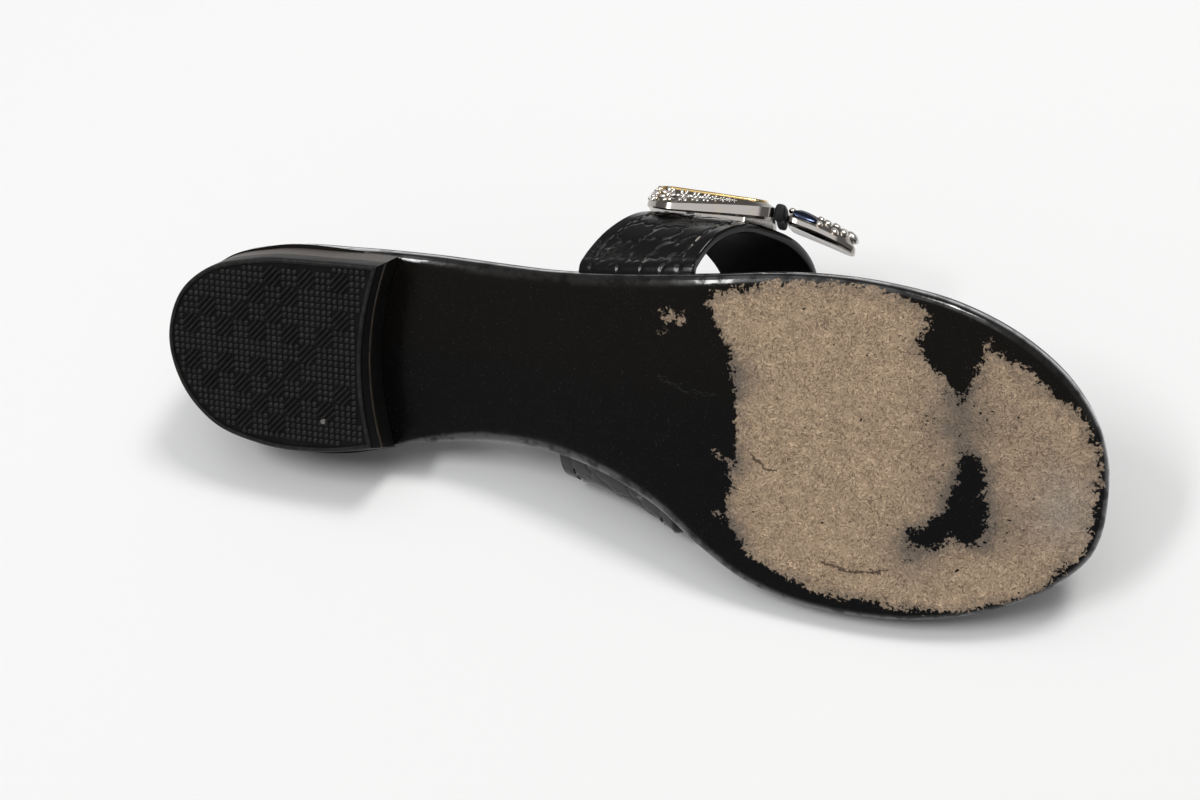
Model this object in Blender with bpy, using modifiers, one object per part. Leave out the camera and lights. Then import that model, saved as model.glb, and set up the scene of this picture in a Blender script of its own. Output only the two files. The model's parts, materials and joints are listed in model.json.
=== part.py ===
"""Slide sandal for the right foot, lying on its inner side with the sole edge and the strap on the floor.

The shoe is first modelled upright, in millimetres: x runs from heel to toe, y from the outer side
(negative) to the inner side (positive) and z up. Shapes start on a flat sole, bend() gives them its
arch and toe spring, and lay_down() turns the finished shoe onto its side.
"""

import bmesh
import bpy
import numpy as np
from mathutils import Matrix, Vector

MM = 0.001
GAP = 0.3

# Sole outline, a row for each section from heel to toe
OUTLINE = (
    # x, outer edge, inner edge
    (-2.5, -1.5, -1.5),
    (3.0, -17.5, 15.5),
    (12.0, -24.8, 24.0),
    (28.0, -29.2, 28.8),
    (50.0, -30.3, 28.6),
    (75.0, -30.4, 22.9),
    (95.0, -30.2, 19.2),
    (112.0, -30.5, 18.6),
    (130.0, -32.0, 21.6),
    (146.0, -33.8, 28.0),
    (158.0, -35.2, 36.4),
    (170.0, -36.7, 43.7),
    (184.0, -37.7, 47.8),
    (202.0, -37.0, 48.9),
    (220.0, -33.4, 47.0),
    (236.0, -25.8, 42.0),
    (248.0, -15.5, 35.0),
    (255.3, -3.7, 27.2),
    (258.0, 10.5, 10.5),
)
OUTLINE_POINTS = 96
OUTLINE_DENSE = 40

# Rise of the sole over the ground: level heel seat, arch, flat tread, toe spring
TOE = 258.0
SEAT_END = 68.0
TREAD_START = 165.0
TREAD_END = 196.0
HEEL_RISE = 13.0
TOE_SPRING = 7.0
STATION_STEP = 6.0
STATION_SNAP = 0.02

# Outsole, with the width of its rounded bottom edge
OUTSOLE = 4.0
ROUND_HEIGHT = 2.0
ROUND_RINGS = 4
TOP_CHAMFER = 0.4
EDGE_ROUND = (
    # x, width of the rounded edge
    (-3.0, 0.6),
    (60.0, 0.8),
    (75.0, 3.4),
    (110.0, 4.2),
    (150.0, 3.8),
    (190.0, 2.4),
    (258.0, 2.0),
)

# Heel, which narrows towards the ground and shifts to the outer side
TOP_PIECE = 5.0
TREAD_CHAMFER = 0.6
HEEL_TAPER = 2.0
HEEL_SHIFT = -1.3
SEAT_INSET = 0.5
BREAST_X = 61.0
BREAST_SAG = 5.0
BREAST_HALF = 28.0
HEEL_POINTS = 44
BREAST_POINTS = 11

# Insole, with pockets under its edge for the strap ends
INSOLE = 5.2
INSOLE_INSET = 0.8
INSOLE_ROUND = 1.4
INSOLE_RINGS = 3
POCKET_DEPTH = 13.0
POCKET_TOP = 7.4
POCKET_REACH = 6.0
POCKET_SIDE = 0.8
POCKET_BELOW = 1.0
POCKET_POINTS = 7

# Strap, a row for each section from the outer end to the inner end
STRAP_THICK = 2.4
STRAP_ROUND = 0.7
STRAP_CORNER = 60.0
STRAP_FREE = 40.0
STRAP_X = (136.5, 132.5)
STRAP = (
    # across: 0 outer edge to 1 inner edge, out: offset in y, up, forward, width,
    # twist: front edge in and rear edge out, curl: both edges in
    (0.00, 12.0, 5.65, 0.0, 33.0, 0.0, 0.0),
    (0.00, 4.0, 5.65, 0.0, 33.0, 0.0, 0.0),
    (0.00, 1.5, 5.65, 0.0, 33.0, 0.0, 0.0),
    (0.00, -0.9, 6.2, 0.0, 33.0, 0.0, 0.0),
    (0.00, -2.3, 9.0, 0.0, 33.0, 0.0, 0.0),
    (0.00, -7.5, 16.0, 3.0, 32.5, 0.4, 0.0),
    (0.00, -10.6, 25.0, 7.8, 31.5, 1.6, 0.3),
    (0.00, -9.6, 36.0, 12.8, 30.0, 2.3, 1.3),
    (0.00, -4.1, 48.0, 18.5, 29.0, 1.0, 2.8),
    (0.16, -0.9, 57.6, 23.5, 27.5, 0.4, 1.5),
    (0.48, 0.0, 58.5, 25.0, 26.0, 0.2, 0.4),
    (0.77, 0.0, 50.5, 20.5, 27.0, 0.0, 0.0),
    (1.00, -1.5, 36.0, 13.0, 30.0, 0.0, 0.0),
    (1.00, 6.0, 24.0, 6.5, 32.5, 0.0, 0.0),
    (1.00, 9.3, 15.0, 2.0, 34.5, 0.0, 0.0),
    (1.00, 6.4, 9.2, 0.3, 35.0, 0.0, 0.0),
    (1.00, 1.2, 6.2, 0.0, 35.0, 0.0, 0.0),
    (1.00, -1.5, 5.65, 0.0, 35.0, 0.0, 0.0),
    (1.00, -4.0, 5.65, 0.0, 35.0, 0.0, 0.0),
    (1.00, -12.0, 5.65, 0.0, 35.0, 0.0, 0.0),
)
STRAP_STEPS = 56
STRAP_LANES = 8

# Lying pose: how far the sole leans back from upright, and how softly and firmly the strap meets the floor
LYING_LEAN = 42.0
LYING_ROUNDS = 6
FLOOR_SOFT = 3.0
FLOOR_PRESS = 0.5

# Buckle on the strap's outer shoulder: u runs forward, v up along the strap, n out of it
BUCKLE_AT = (157.5, -42.15, 43.95)
BUCKLE_SLOPE = 65.0
BUCKLE_YAW = 8.5
BUCKLE_BEND = (30.0, 32.0)
BUCKLE_DROOP = (500.0, 58.0)
BUCKLE_FOOT = 0.5
BUCKLE_STRIPS = 7
FRAME_STEPS = 15

# Buckle's rear frame, a row for each section from rear to front, and its window's start, end and half height
REAR_FRAME = (
    # u, half height, wall height, full thickness
    (-28.4, 8.0, 1.8, 5.0),
    (-24.5, 12.2, 2.0, 5.8),
    (-15.0, 14.0, 2.6, 5.6),
    (-4.0, 13.2, 3.2, 5.0),
    (5.9, 12.0, 3.6, 4.6),
)
REAR_WINDOW = (-18.5, -2.0, 7.2)

# Buckle's front tip, which sits lower on the strap than the rear frame
FRONT_TIP = (
    # u, half height, wall height, full thickness
    (9.5, 6.2, 2.4, 4.4),
    (13.5, 6.9, 2.2, 5.0),
    (19.5, 6.4, 2.2, 4.6),
    (25.0, 5.2, 2.2, 4.8),
    (28.4, 3.2, 2.0, 4.4),
)
FRONT_SHIFT = -2.6
FRAME_BEVEL = 2.6
WINDOW_DEPTH = 60.0

# Leather roll between the frame and the tip
WRAP_AT = 7.7
WRAP_WIDE = 3.0
WRAP_TALL = 5.0
WRAP_HALF = 6.8
WRAP_SQUARE = 0.6
WRAP_POINTS = 16
WRAP_ENDS = (
    # v as a share of the half length, size
    (-1.0, 0.8),
    (-0.95, 1.0),
    (-0.45, 1.0),
    (0.0, 1.0),
    (0.45, 1.0),
    (0.95, 1.0),
    (1.0, 0.8),
)

# Colour, roughness and metalness of each piece
FINISH = {
    "outsole": ((0.03, 0.028, 0.027), 0.4, 0.0),
    "heel_block": ((0.10, 0.085, 0.07), 0.6, 0.0),
    "top_piece": ((0.035, 0.035, 0.036), 0.7, 0.0),
    "insole": ((0.02, 0.02, 0.022), 0.5, 0.0),
    "strap": ((0.012, 0.012, 0.013), 0.3, 0.0),
    "buckle_rear": ((0.75, 0.73, 0.70), 0.2, 1.0),
    "buckle_front": ((0.75, 0.73, 0.70), 0.2, 1.0),
    "buckle_wrap": ((0.012, 0.012, 0.013), 0.35, 0.0),
}


def smooth(knots, values, at):
    """Values at new places on a smooth curve through the known ones."""
    knots = np.asarray(knots, float)
    values = np.asarray(values, float)
    slopes = np.gradient(values, knots, axis=0)
    i = np.clip(np.searchsorted(knots, at) - 1, 0, len(knots) - 2)
    step = knots[i + 1] - knots[i]
    t = np.clip((at - knots[i]) / step, 0.0, 1.0)
    if values.ndim > 1:
        step = step[:, None]
        t = t[:, None]
    start = (1 + 2 * t) * (1 - t) ** 2 * values[i] + t * (1 - t) ** 2 * step * slopes[i]
    end = t ** 2 * (3 - 2 * t) * values[i + 1] + t ** 2 * (t - 1) * step * slopes[i + 1]
    return start + end


def along(points):
    """Distance travelled at each point of a path."""
    steps = np.linalg.norm(np.diff(points, axis=0), axis=1)
    return np.concatenate([[0.0], np.cumsum(steps)])


def evenly(points, count):
    """The same open path with evenly spaced points."""
    far = along(points)
    at = np.linspace(0.0, far[-1], count)
    return np.column_stack([np.interp(at, far, column) for column in points.T])


def sole_edge():
    """Outline of the sole, from the heel along the outer side to the toe and home, and its inward normals."""
    table = np.array(OUTLINE)
    outer = table[:, [0, 1]]
    inner = table[-2:0:-1, [0, 2]]
    loop = np.vstack([outer, inner])
    padded = np.vstack([loop[-3:], loop, loop[:4]])
    knots = along(padded)
    dense = smooth(knots, padded, np.linspace(knots[3], knots[-4], OUTLINE_DENSE * len(loop)))
    edge = evenly(dense, OUTLINE_POINTS + 1)[:-1]
    ahead = np.roll(edge, -1, axis=0) - np.roll(edge, 1, axis=0)
    ahead /= np.linalg.norm(ahead, axis=1)[:, None]
    return edge, np.column_stack([-ahead[:, 1], ahead[:, 0]])


EDGE, INWARD = sole_edge()
TOE_POINT = int(np.argmax(EDGE[:, 0]))


def edge_y(x, inner):
    """Where the sole's edge lies at x, on the outer or the inner side."""
    side = EDGE[: TOE_POINT + 1]
    if inner:
        side = np.vstack([EDGE[:1], EDGE[:TOE_POINT - 1:-1]])
    return np.interp(x, side[:, 0], side[:, 1])


def rise(x):
    """Height of the sole's bottom face over the ground."""
    arch = np.clip((TREAD_START - x) / (TREAD_START - SEAT_END), 0.0, 1.0)
    toe = np.clip((x - TREAD_END) / (TOE - TREAD_END), 0.0, 1.0)
    return HEEL_RISE * arch ** 2 * (3 - 2 * arch) + TOE_SPRING * toe ** 2


def ring(inset, height):
    """The sole's outline pulled in by inset, at a height over its bottom face."""
    flat = EDGE + INWARD * np.broadcast_to(inset, OUTLINE_POINTS)[:, None]
    return np.column_stack([flat, np.broadcast_to(height, OUTLINE_POINTS)])


def loft(rings):
    """Closed mesh through rings of equal count, listed from bottom to top and running anticlockwise."""
    bm = bmesh.new()
    rows = [[bm.verts.new(point) for point in points] for points in rings]
    for low, high in zip(rows, rows[1:]):
        for i in range(len(low)):
            bm.faces.new((low[i - 1], low[i], high[i], high[i - 1]))
    bm.faces.new(rows[0][::-1])
    bm.faces.new(rows[-1])
    return bm


def cut_strips(bm, stations, axis):
    """Cuts every face across at the stations, so that it can bend along the axis."""
    across = Vector((0.0, 0.0, 0.0))
    across[axis] = 1.0
    for station in stations:
        geometry = bm.verts[:] + bm.edges[:] + bm.faces[:]
        place = across * float(station)
        bmesh.ops.bisect_plane(bm, geom=geometry, dist=STATION_SNAP, plane_co=place, plane_no=across)


def bend(bm):
    """Lifts a shape made on a flat sole to the sole's arch and toe spring."""
    cut_strips(bm, np.arange(SEAT_END, TOE, STATION_STEP), 0)
    cut_strips(bm, (TREAD_START, TREAD_END), 0)
    for vert in bm.verts:
        vert.co.z += float(rise(vert.co.x))


def add_object(name, bm, collection):
    """Turns a mesh in millimetres into an object in metres."""
    bmesh.ops.scale(bm, vec=(MM, MM, MM), verts=bm.verts)
    bmesh.ops.recalc_face_normals(bm, faces=bm.faces)
    mesh = bpy.data.meshes.new(name)
    bm.to_mesh(mesh)
    bm.free()
    obj = bpy.data.objects.new(name, mesh)
    collection.objects.link(obj)
    return obj


def add_part(name, bm, collection):
    """A named piece with its own material."""
    obj = add_object(name, bm, collection)
    colour, roughness, metalness = FINISH[name]
    material = bpy.data.materials.new(name)
    material.use_nodes = True
    shader = material.node_tree.nodes["Principled BSDF"]
    shader.inputs["Base Color"].default_value = (*colour, 1.0)
    shader.inputs["Roughness"].default_value = roughness
    shader.inputs["Metallic"].default_value = metalness
    obj.data.materials.append(material)
    return obj


def cut(obj, name, bm, cutters):
    """Takes a cutter's shape out of a piece."""
    cutter = add_object(name, bm, cutters)
    cutter.hide_render = True
    cutter.display_type = "WIRE"
    boolean = obj.modifiers.new(name, "BOOLEAN")
    boolean.operation = "DIFFERENCE"
    boolean.solver = "EXACT"
    boolean.object = cutter


def make_outsole(parts):
    """Leather sole, flat underneath with a rounded bottom edge that is widest at the waist."""
    table = np.array(EDGE_ROUND)
    width = smooth(table[:, 0], table[:, 1], EDGE[:, 0])
    rings = []
    for angle in np.linspace(0.0, np.pi / 2, ROUND_RINGS):
        rings.append(ring(width * (1 - np.sin(angle)), ROUND_HEIGHT * (1 - np.cos(angle))))
    rings.append(ring(0.0, OUTSOLE - TOP_CHAMFER))
    rings.append(ring(TOP_CHAMFER, OUTSOLE))
    bm = loft(rings)
    bend(bm)
    return add_part("outsole", bm, parts)


def breast(y):
    """Front edge of the heel, hollow towards the toe."""
    return BREAST_X + BREAST_SAG * (y / BREAST_HALF) ** 2


def heel_ring(height, inset):
    """Outline of the heel at a height over the ground."""
    lower = 1.0 - height / HEEL_RISE
    edge = EDGE + INWARD * (SEAT_INSET + HEEL_TAPER * lower + inset)
    edge = np.roll(edge + (0.0, HEEL_SHIFT * lower), -TOE_POINT, axis=0)
    ahead = edge[:, 0] - breast(edge[:, 1]) + inset
    kept = np.flatnonzero(ahead < 0.0)
    ends = []
    for i in (kept[0] - 1, kept[-1]):
        share = ahead[i] / (ahead[i] - ahead[i + 1])
        ends.append(edge[i] + share * (edge[i + 1] - edge[i]))
    back = evenly(np.vstack([ends[0], edge[kept], ends[1]]), HEEL_POINTS)
    y = np.linspace(ends[1][1], ends[0][1], BREAST_POINTS + 2)[1:-1]
    front = np.column_stack([breast(y) - inset, y])
    outline = np.vstack([back, front])
    return np.column_stack([outline, np.full(len(outline), height)])


def make_heel(parts):
    """Rubber top piece on the ground and the stacked block over it."""
    tread = [heel_ring(0.0, TREAD_CHAMFER), heel_ring(TREAD_CHAMFER, 0.0), heel_ring(TOP_PIECE, 0.0)]
    add_part("top_piece", loft(tread), parts)
    block = [heel_ring(TOP_PIECE + GAP, 0.0), heel_ring(HEEL_RISE - GAP, 0.0)]
    add_part("heel_block", loft(block), parts)


def pocket(inner):
    """Room for a strap end between outsole and insole, open at the sole's edge."""
    side = 1.0 if inner else -1.0
    half = STRAP[-1 if inner else 0][4] / 2 + POCKET_SIDE
    x = np.linspace(STRAP_X[inner] - half, STRAP_X[inner] + half, POCKET_POINTS)
    edge = edge_y(x, inner)
    deep = np.column_stack([x, edge - side * POCKET_DEPTH])
    open_side = np.column_stack([x, edge + side * POCKET_REACH])
    outline = np.vstack([deep, open_side[::-1]])
    heights = (OUTSOLE - POCKET_BELOW, POCKET_TOP)
    bm = loft([np.column_stack([outline, np.full(len(outline), z)]) for z in heights])
    bend(bm)
    return bm


def make_insole(parts, cutters):
    """Footbed on the outsole, rounded at its top edge."""
    bottom = OUTSOLE + GAP
    top = bottom + INSOLE
    rings = [ring(INSOLE_INSET, bottom)]
    for angle in np.linspace(0.0, np.pi / 2, INSOLE_RINGS):
        inset = INSOLE_INSET + INSOLE_ROUND * (1 - np.cos(angle))
        rings.append(ring(inset, top - INSOLE_ROUND * (1 - np.sin(angle))))
    bm = loft(rings)
    bend(bm)
    insole = add_part("insole", bm, parts)
    cut(insole, "pocket_outer", pocket(0), cutters)
    cut(insole, "pocket_inner", pocket(1), cutters)


def strap_point(section, lane):
    """Middle of the strap's wall at a section row and a lane from -1 at the rear edge to 1 at the front."""
    across, out, up, forward, width, twist, curl = section
    follow = np.clip(1.0 - (up - POCKET_TOP) / STRAP_FREE, 0.0, 1.0)
    outer_x = STRAP_X[0] + lane * STRAP[0][4] / 2
    inner_x = STRAP_X[1] + lane * STRAP[-1][4] / 2 * follow
    x = (1 - across) * STRAP_X[0] + across * STRAP_X[1] + forward + lane * width / 2
    y = (1 - across) * edge_y(outer_x, 0) + across * edge_y(inner_x, 1) + out
    y += lane * twist + lane ** 2 * curl
    return np.array([x, y, up + rise(x)])


def floor_under(parts):
    """Direction down and distance to the floor, with the inner sole edge on it at both heel and ball."""
    points = np.array([vert.co for obj in parts.objects for vert in obj.data.vertices]) / MM
    lean = np.radians(LYING_LEAN)
    down = np.array([0.0, np.cos(lean), np.sin(lean)])
    for _ in range(LYING_ROUNDS):
        reach = points @ down
        heel = points[np.argmax(np.where(points[:, 0] < SEAT_END, reach, -np.inf))]
        ball = points[np.argmax(np.where(points[:, 0] > TREAD_START, reach, -np.inf))]
        down[0] = -np.dot((ball - heel)[1:], down[1:]) / (ball - heel)[0]
    down /= np.linalg.norm(down)
    return down, (points @ down).max()


def flatten(point, down, reach):
    """Presses a point of the strap's wall softly back to the floor that it lies on."""
    past = np.dot(point, down) - (reach + FLOOR_PRESS - STRAP_THICK / 2)
    soft = (past + np.hypot(past, FLOOR_SOFT)) / 2
    return point - down * soft


def make_strap(parts, down, reach):
    """One slack band of leather from sole edge to sole edge, leaning forward and to the outer side."""
    table = np.array(STRAP)
    middle = np.array([strap_point(row, 0.0) for row in table])
    far = along(middle)
    bm = bmesh.new()
    bmesh.ops.create_grid(bm, x_segments=STRAP_STEPS, y_segments=STRAP_LANES, size=1.0)
    for vert in bm.verts:
        at = np.array([(vert.co.x + 1.0) / 2 * far[-1]])
        section = smooth(far, table, at)[0]
        vert.co = flatten(strap_point(section, vert.co.y), down, reach)
    strap = add_part("strap", bm, parts)
    wall = strap.modifiers.new("wall", "SOLIDIFY")
    wall.thickness = STRAP_THICK * MM
    wall.offset = 0.0
    wall.use_even_offset = True
    rim = strap.modifiers.new("rim", "BEVEL")
    rim.width = STRAP_ROUND * MM
    rim.segments = 2
    rim.limit_method = "ANGLE"
    rim.angle_limit = np.radians(STRAP_CORNER)


def buckle_place():
    """Matrix from the buckle's u, v, n to the shoe."""
    slope = Matrix.Rotation(np.radians(BUCKLE_SLOPE), 4, "X")
    yaw = Matrix.Rotation(np.radians(BUCKLE_YAW), 4, "Z")
    return Matrix.Translation(BUCKLE_AT) @ slope @ yaw


def seat_buckle(bm):
    """Curves a flat buckle piece round the strap's shoulder and puts it in place."""
    for vert in bm.verts:
        vert.co.z -= vert.co.y ** 2 / (2 * BUCKLE_BEND[vert.co.y > 0.0])
        vert.co.z -= vert.co.x ** 2 / (2 * BUCKLE_DROOP[vert.co.x > 0.0])
    bm.transform(buckle_place())


def frame_ring(rows, inset, wall, bevel):
    """Outline of a buckle frame, pulled in by inset, at shares of its wall and of the bevel over it."""
    table = np.array(rows)
    u = np.linspace(table[0, 0], table[-1, 0], FRAME_STEPS)
    half, wall_top, full = smooth(table[:, 0], table[:, 1:], u).T
    height = wall * wall_top + bevel * (full - wall_top)
    u = np.clip(u, u[0] + inset, u[-1] - inset)
    lower = np.column_stack([u, inset - half, height])
    upper = np.column_stack([u, half - inset, height])
    return np.vstack([lower, upper[::-1]])


def make_frame(name, rows, shift, parts):
    """Metal piece with a bevelled face, shifted up or down along the strap."""
    rings = [
        frame_ring(rows, BUCKLE_FOOT, 0.0, 0.0),
        frame_ring(rows, 0.0, BUCKLE_FOOT, 0.0),
        frame_ring(rows, 0.0, 1.0, 0.0),
        frame_ring(rows, FRAME_BEVEL, 1.0, 1.0),
    ]
    bm = loft(rings)
    top = max(row[1] for row in rows)
    cut_strips(bm, np.linspace(-top, top, BUCKLE_STRIPS + 2)[1:-1], 1)
    bmesh.ops.translate(bm, vec=(0.0, shift, 0.0), verts=bm.verts)
    seat_buckle(bm)
    return add_part(name, bm, parts)


def cut_window(frame, window, cutters):
    """Window through a frame, given by its start, end and half height."""
    start, end, half = window
    opening = bmesh.new()
    bmesh.ops.create_cube(opening, size=1.0)
    bmesh.ops.scale(opening, vec=(end - start, 2 * half, WINDOW_DEPTH), verts=opening.verts)
    bmesh.ops.translate(opening, vec=((start + end) / 2, 0.0, 0.0), verts=opening.verts)
    opening.transform(buckle_place())
    cut(frame, frame.name + "_window", opening, cutters)


def make_wrap(parts):
    """Leather roll between the frame and the tip."""
    turns = np.linspace(0.0, -2 * np.pi, WRAP_POINTS + 1)[:-1]
    round_u = np.sign(np.cos(turns)) * np.abs(np.cos(turns)) ** WRAP_SQUARE
    round_n = np.sign(np.sin(turns)) * np.abs(np.sin(turns)) ** WRAP_SQUARE
    rings = []
    for share, size in WRAP_ENDS:
        u = WRAP_AT + WRAP_WIDE / 2 * size * round_u
        n = WRAP_TALL / 2 * (1.0 + size * round_n)
        rings.append(np.column_stack([u, np.full(len(u), FRONT_SHIFT + share * WRAP_HALF), n]))
    bm = loft(rings)
    seat_buckle(bm)
    add_part("buckle_wrap", bm, parts)


def lay_down(parts, cutters, down):
    """Turns the shoe so that down points at the floor, its length along x and the origin below its middle."""
    up = -Vector(down)
    forward = Vector((1.0, 0.0, 0.0))
    forward = (forward - up * forward.dot(up)).normalized()
    turn = Matrix((forward, up.cross(forward), up))
    graph = bpy.context.evaluated_depsgraph_get()
    shapes = [obj.evaluated_get(graph).data for obj in parts.objects]
    points = np.array([vert.co for shape in shapes for vert in shape.vertices])
    turned = points @ np.array(turn).T
    low = turned.min(axis=0)
    middle = (low + turned.max(axis=0)) / 2
    pose = bpy.data.objects.new("lying_pose", None)
    bpy.context.scene.collection.objects.link(pose)
    pose.matrix_world = Matrix.Translation((-middle[0], -middle[1], -low[2])) @ turn.to_4x4()
    for obj in [*parts.objects, *cutters.objects]:
        obj.parent = pose


def main():
    for obj in list(bpy.data.objects):
        bpy.data.objects.remove(obj)
    parts = bpy.data.collections.new("slide_sandal")
    cutters = bpy.data.collections.new("cutters")
    bpy.context.scene.collection.children.link(parts)
    bpy.context.scene.collection.children.link(cutters)
    make_outsole(parts)
    make_heel(parts)
    make_insole(parts, cutters)
    down, reach = floor_under(parts)
    make_strap(parts, down, reach)
    rear = make_frame("buckle_rear", REAR_FRAME, 0.0, parts)
    cut_window(rear, REAR_WINDOW, cutters)
    make_frame("buckle_front", FRONT_TIP, FRONT_SHIFT, parts)
    make_wrap(parts)
    lay_down(parts, cutters, down)


main()
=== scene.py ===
"""Looks for a slide sandal that lies on its inner side: sole, heel, insole, strap and buckle.

The pieces are modelled in the shoe's own millimetres, x from heel to toe, y from the outer side (negative)
to the inner side and z up, and are then laid on the floor where the frame's two tread faces say.
"""

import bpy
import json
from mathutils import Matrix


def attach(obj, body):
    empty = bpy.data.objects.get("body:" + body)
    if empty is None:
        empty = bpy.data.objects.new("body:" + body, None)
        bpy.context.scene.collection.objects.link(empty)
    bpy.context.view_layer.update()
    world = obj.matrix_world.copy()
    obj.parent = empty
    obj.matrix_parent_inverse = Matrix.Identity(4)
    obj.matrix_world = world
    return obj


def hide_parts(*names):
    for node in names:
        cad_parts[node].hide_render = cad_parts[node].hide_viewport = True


bl_info = {
    "name": "Slide sandal",
    "version": (1, 0, 0),
    "blender": (4, 5, 0),
    "location": "View3D > Sidebar > Sandal",
    "description": "Builds the visible pieces of a slide sandal around its packed frame",
    "category": "Object",
}

import json
import math
import random

import bmesh
import bpy
import numpy as np
from bpy.props import FloatProperty, FloatVectorProperty, PointerProperty
from bpy.types import Operator, Panel, PropertyGroup
from mathutils import Matrix, Vector

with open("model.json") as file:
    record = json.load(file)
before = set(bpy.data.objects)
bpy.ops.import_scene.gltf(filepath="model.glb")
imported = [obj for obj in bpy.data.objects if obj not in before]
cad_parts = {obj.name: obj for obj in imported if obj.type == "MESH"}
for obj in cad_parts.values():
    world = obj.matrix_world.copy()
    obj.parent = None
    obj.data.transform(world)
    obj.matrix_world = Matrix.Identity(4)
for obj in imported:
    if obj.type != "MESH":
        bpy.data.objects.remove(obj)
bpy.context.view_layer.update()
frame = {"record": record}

# Sizes are in millimetres: the gap between pieces, and the small break along their edges
MM = 0.001
GAP = 0.3
EDGE_BREAK = 0.2
BREAK_RINGS = 4
CUT_SNAP = 0.02
SHARP_DEGREES = 38.0
CAST_SHARP = 20.0

# Where the middles of the two tread faces lie on the upright shoe
HEEL_MARK = Vector((30.0, -2.0, 0.0))
BALL_MARK = Vector((180.0, 4.0, 0.0))

# Sole outline, a row for each section from heel to toe
OUTLINE = (
    # x, outer edge, inner edge
    (-2.5, -1.5, -1.5),
    (3.0, -17.5, 15.5),
    (12.0, -24.8, 24.0),
    (28.0, -29.2, 28.8),
    (50.0, -30.3, 28.6),
    (75.0, -30.4, 22.9),
    (95.0, -30.2, 19.2),
    (112.0, -30.5, 18.6),
    (130.0, -32.0, 21.6),
    (146.0, -33.8, 28.0),
    (158.0, -35.2, 36.4),
    (170.0, -36.7, 43.7),
    (184.0, -37.7, 47.8),
    (202.0, -37.0, 48.9),
    (220.0, -33.4, 47.0),
    (236.0, -25.8, 42.0),
    (248.0, -15.5, 35.0),
    (255.3, -3.7, 27.2),
    (258.0, 10.5, 10.5),
)
OUTLINE_POINTS = 320
OUTLINE_DENSE = 60
TOE = 258.0
SEAT_END = 68.0
TREAD_START = 165.0
TREAD_END = 196.0
HEEL_RISE = 13.0
TOE_SPRING = 7.0

# Outsole, with the width of its rounded bottom edge
OUTSOLE = 4.0
ROUND_HEIGHT = 2.0
ROUND_RINGS = 7
TOP_ROUND = 0.5
SOLE_GRID = 2.5
SOLE_SIDES = (-36.0, 48.0)
EDGE_ROUND = (
    # x, width of the rounded edge
    (-3.0, 0.6),
    (60.0, 0.8),
    (75.0, 3.4),
    (110.0, 4.2),
    (150.0, 3.8),
    (190.0, 2.4),
    (258.0, 2.0),
)

# How fast the wear ends up the rounded edge, and from what height
WEAR_FADE = 3.0
WEAR_TOP = 0.5
# Forefoot where the black finish is worn off, walked round from the waist's outer corner
WORN = (
    # x, y
    (158, -28), (165, -16), (168, 5), (165, 27), (174, 38), (191, 44), (215, 45), (226, 44), (244, 37),
    (254, 25), (256, 12), (255, -1), (250, -9), (237, -19), (230, -23), (227, -26), (226, -19), (222, -10),
    (218, -16), (211, -22), (214, -31), (206, -35), (195, -37), (178, -36), (160, -31),
)
# Black patch left inside the worn forefoot
LEFT_BLACK = (
    # x, y
    (224, 2), (230, 5), (229, 11), (231, 16), (230, 26), (223, 25), (213, 30), (212, 24), (220, 20),
    (222, 12),
)
# Grey smudges on the worn leather
SMUDGES = (
    # x, y, radius, strength
    (223, -5, 9, 1.0),
    (225, 14, 10, 0.9),
    (214, 29, 8, 0.7),
    (232, 20, 9, 0.7),
    (243, 4, 8, 0.3),
    (168, -10, 5, 0.8),
    (168, 12, 4, 0.6),
    (167, 30, 5, 0.7),
    (236, -6, 7, 0.3),
)
# Rubbed pale place at the toe: x, y, half length, half width
PALE = (248.0, 15.0, 7.0, 9.0)
# Bare chips in the black waist
CHIPS = (
    # x, y, radius
    (148, -24, 2.0),
    (151, -23.5, 1.7),
    (146, -19, 0.9),
    (162, 10, 0.7),
    (165.5, 12, 0.7),
    (163, 26, 0.9),
)
# Cracks in the sole, each a straight run
CRACKS = (
    # x and y at the start, x and y at the end
    (171.5, 9.0, 175.0, 12.5),
    (175.0, 12.5, 178.5, 13.0),
    (191.0, 35.5, 199.0, 37.0),
    (199.0, 37.0, 208.0, 35.0),
    (146.0, -8.0, 153.0, -5.0),
    (153.0, -5.0, 162.0, -5.0),
)

# Heel, which narrows towards the ground and shifts to the outer side
TOP_PIECE = 5.0
TREAD_CHAMFER = 0.6
HEEL_TAPER = 2.0
HEEL_SHIFT = -1.3
SEAT_INSET = 0.5
BREAST_X = 61.0
BREAST_SAG = 5.0
BREAST_HALF = 28.0
HEEL_POINTS = 200
BREAST_POINTS = 40
TREAD_SINK = 0.5
TREAD_BREAK = 0.15
TREAD_LIP = (
    # height, inset past the chamfer
    (TREAD_SINK, 0.7),
    (0.1, 0.55),
)
# Studs and ridges in square patches, sized by the studs' pitch
STUD_PATCH = 3
STUD_MARGIN = 1.45
STUD_ROUND = 0.46
STUD_LOWER = 0.05
STUD_SEED = 5
RIDGE_COUNT = 4
RIDGE_SLANT = -45.0
RIDGE_SHARE = 0.85
RIDGE_LONG = 1.25
RIDGE_CUT = 1.1
RIDGE_WIDE = 0.45
RIDGE_PINCH = (0.94, 0.45, 1.0)
TREAD_LONG = 70.0
TREAD_WIDE = 35.0
# Nail head: x, y
NAIL = (49.0, 16.0)
NAIL_RADIUS = 0.9
NAIL_TAPER = 0.8
NAIL_SINK = 0.05
NAIL_HIGH = 0.7

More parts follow.
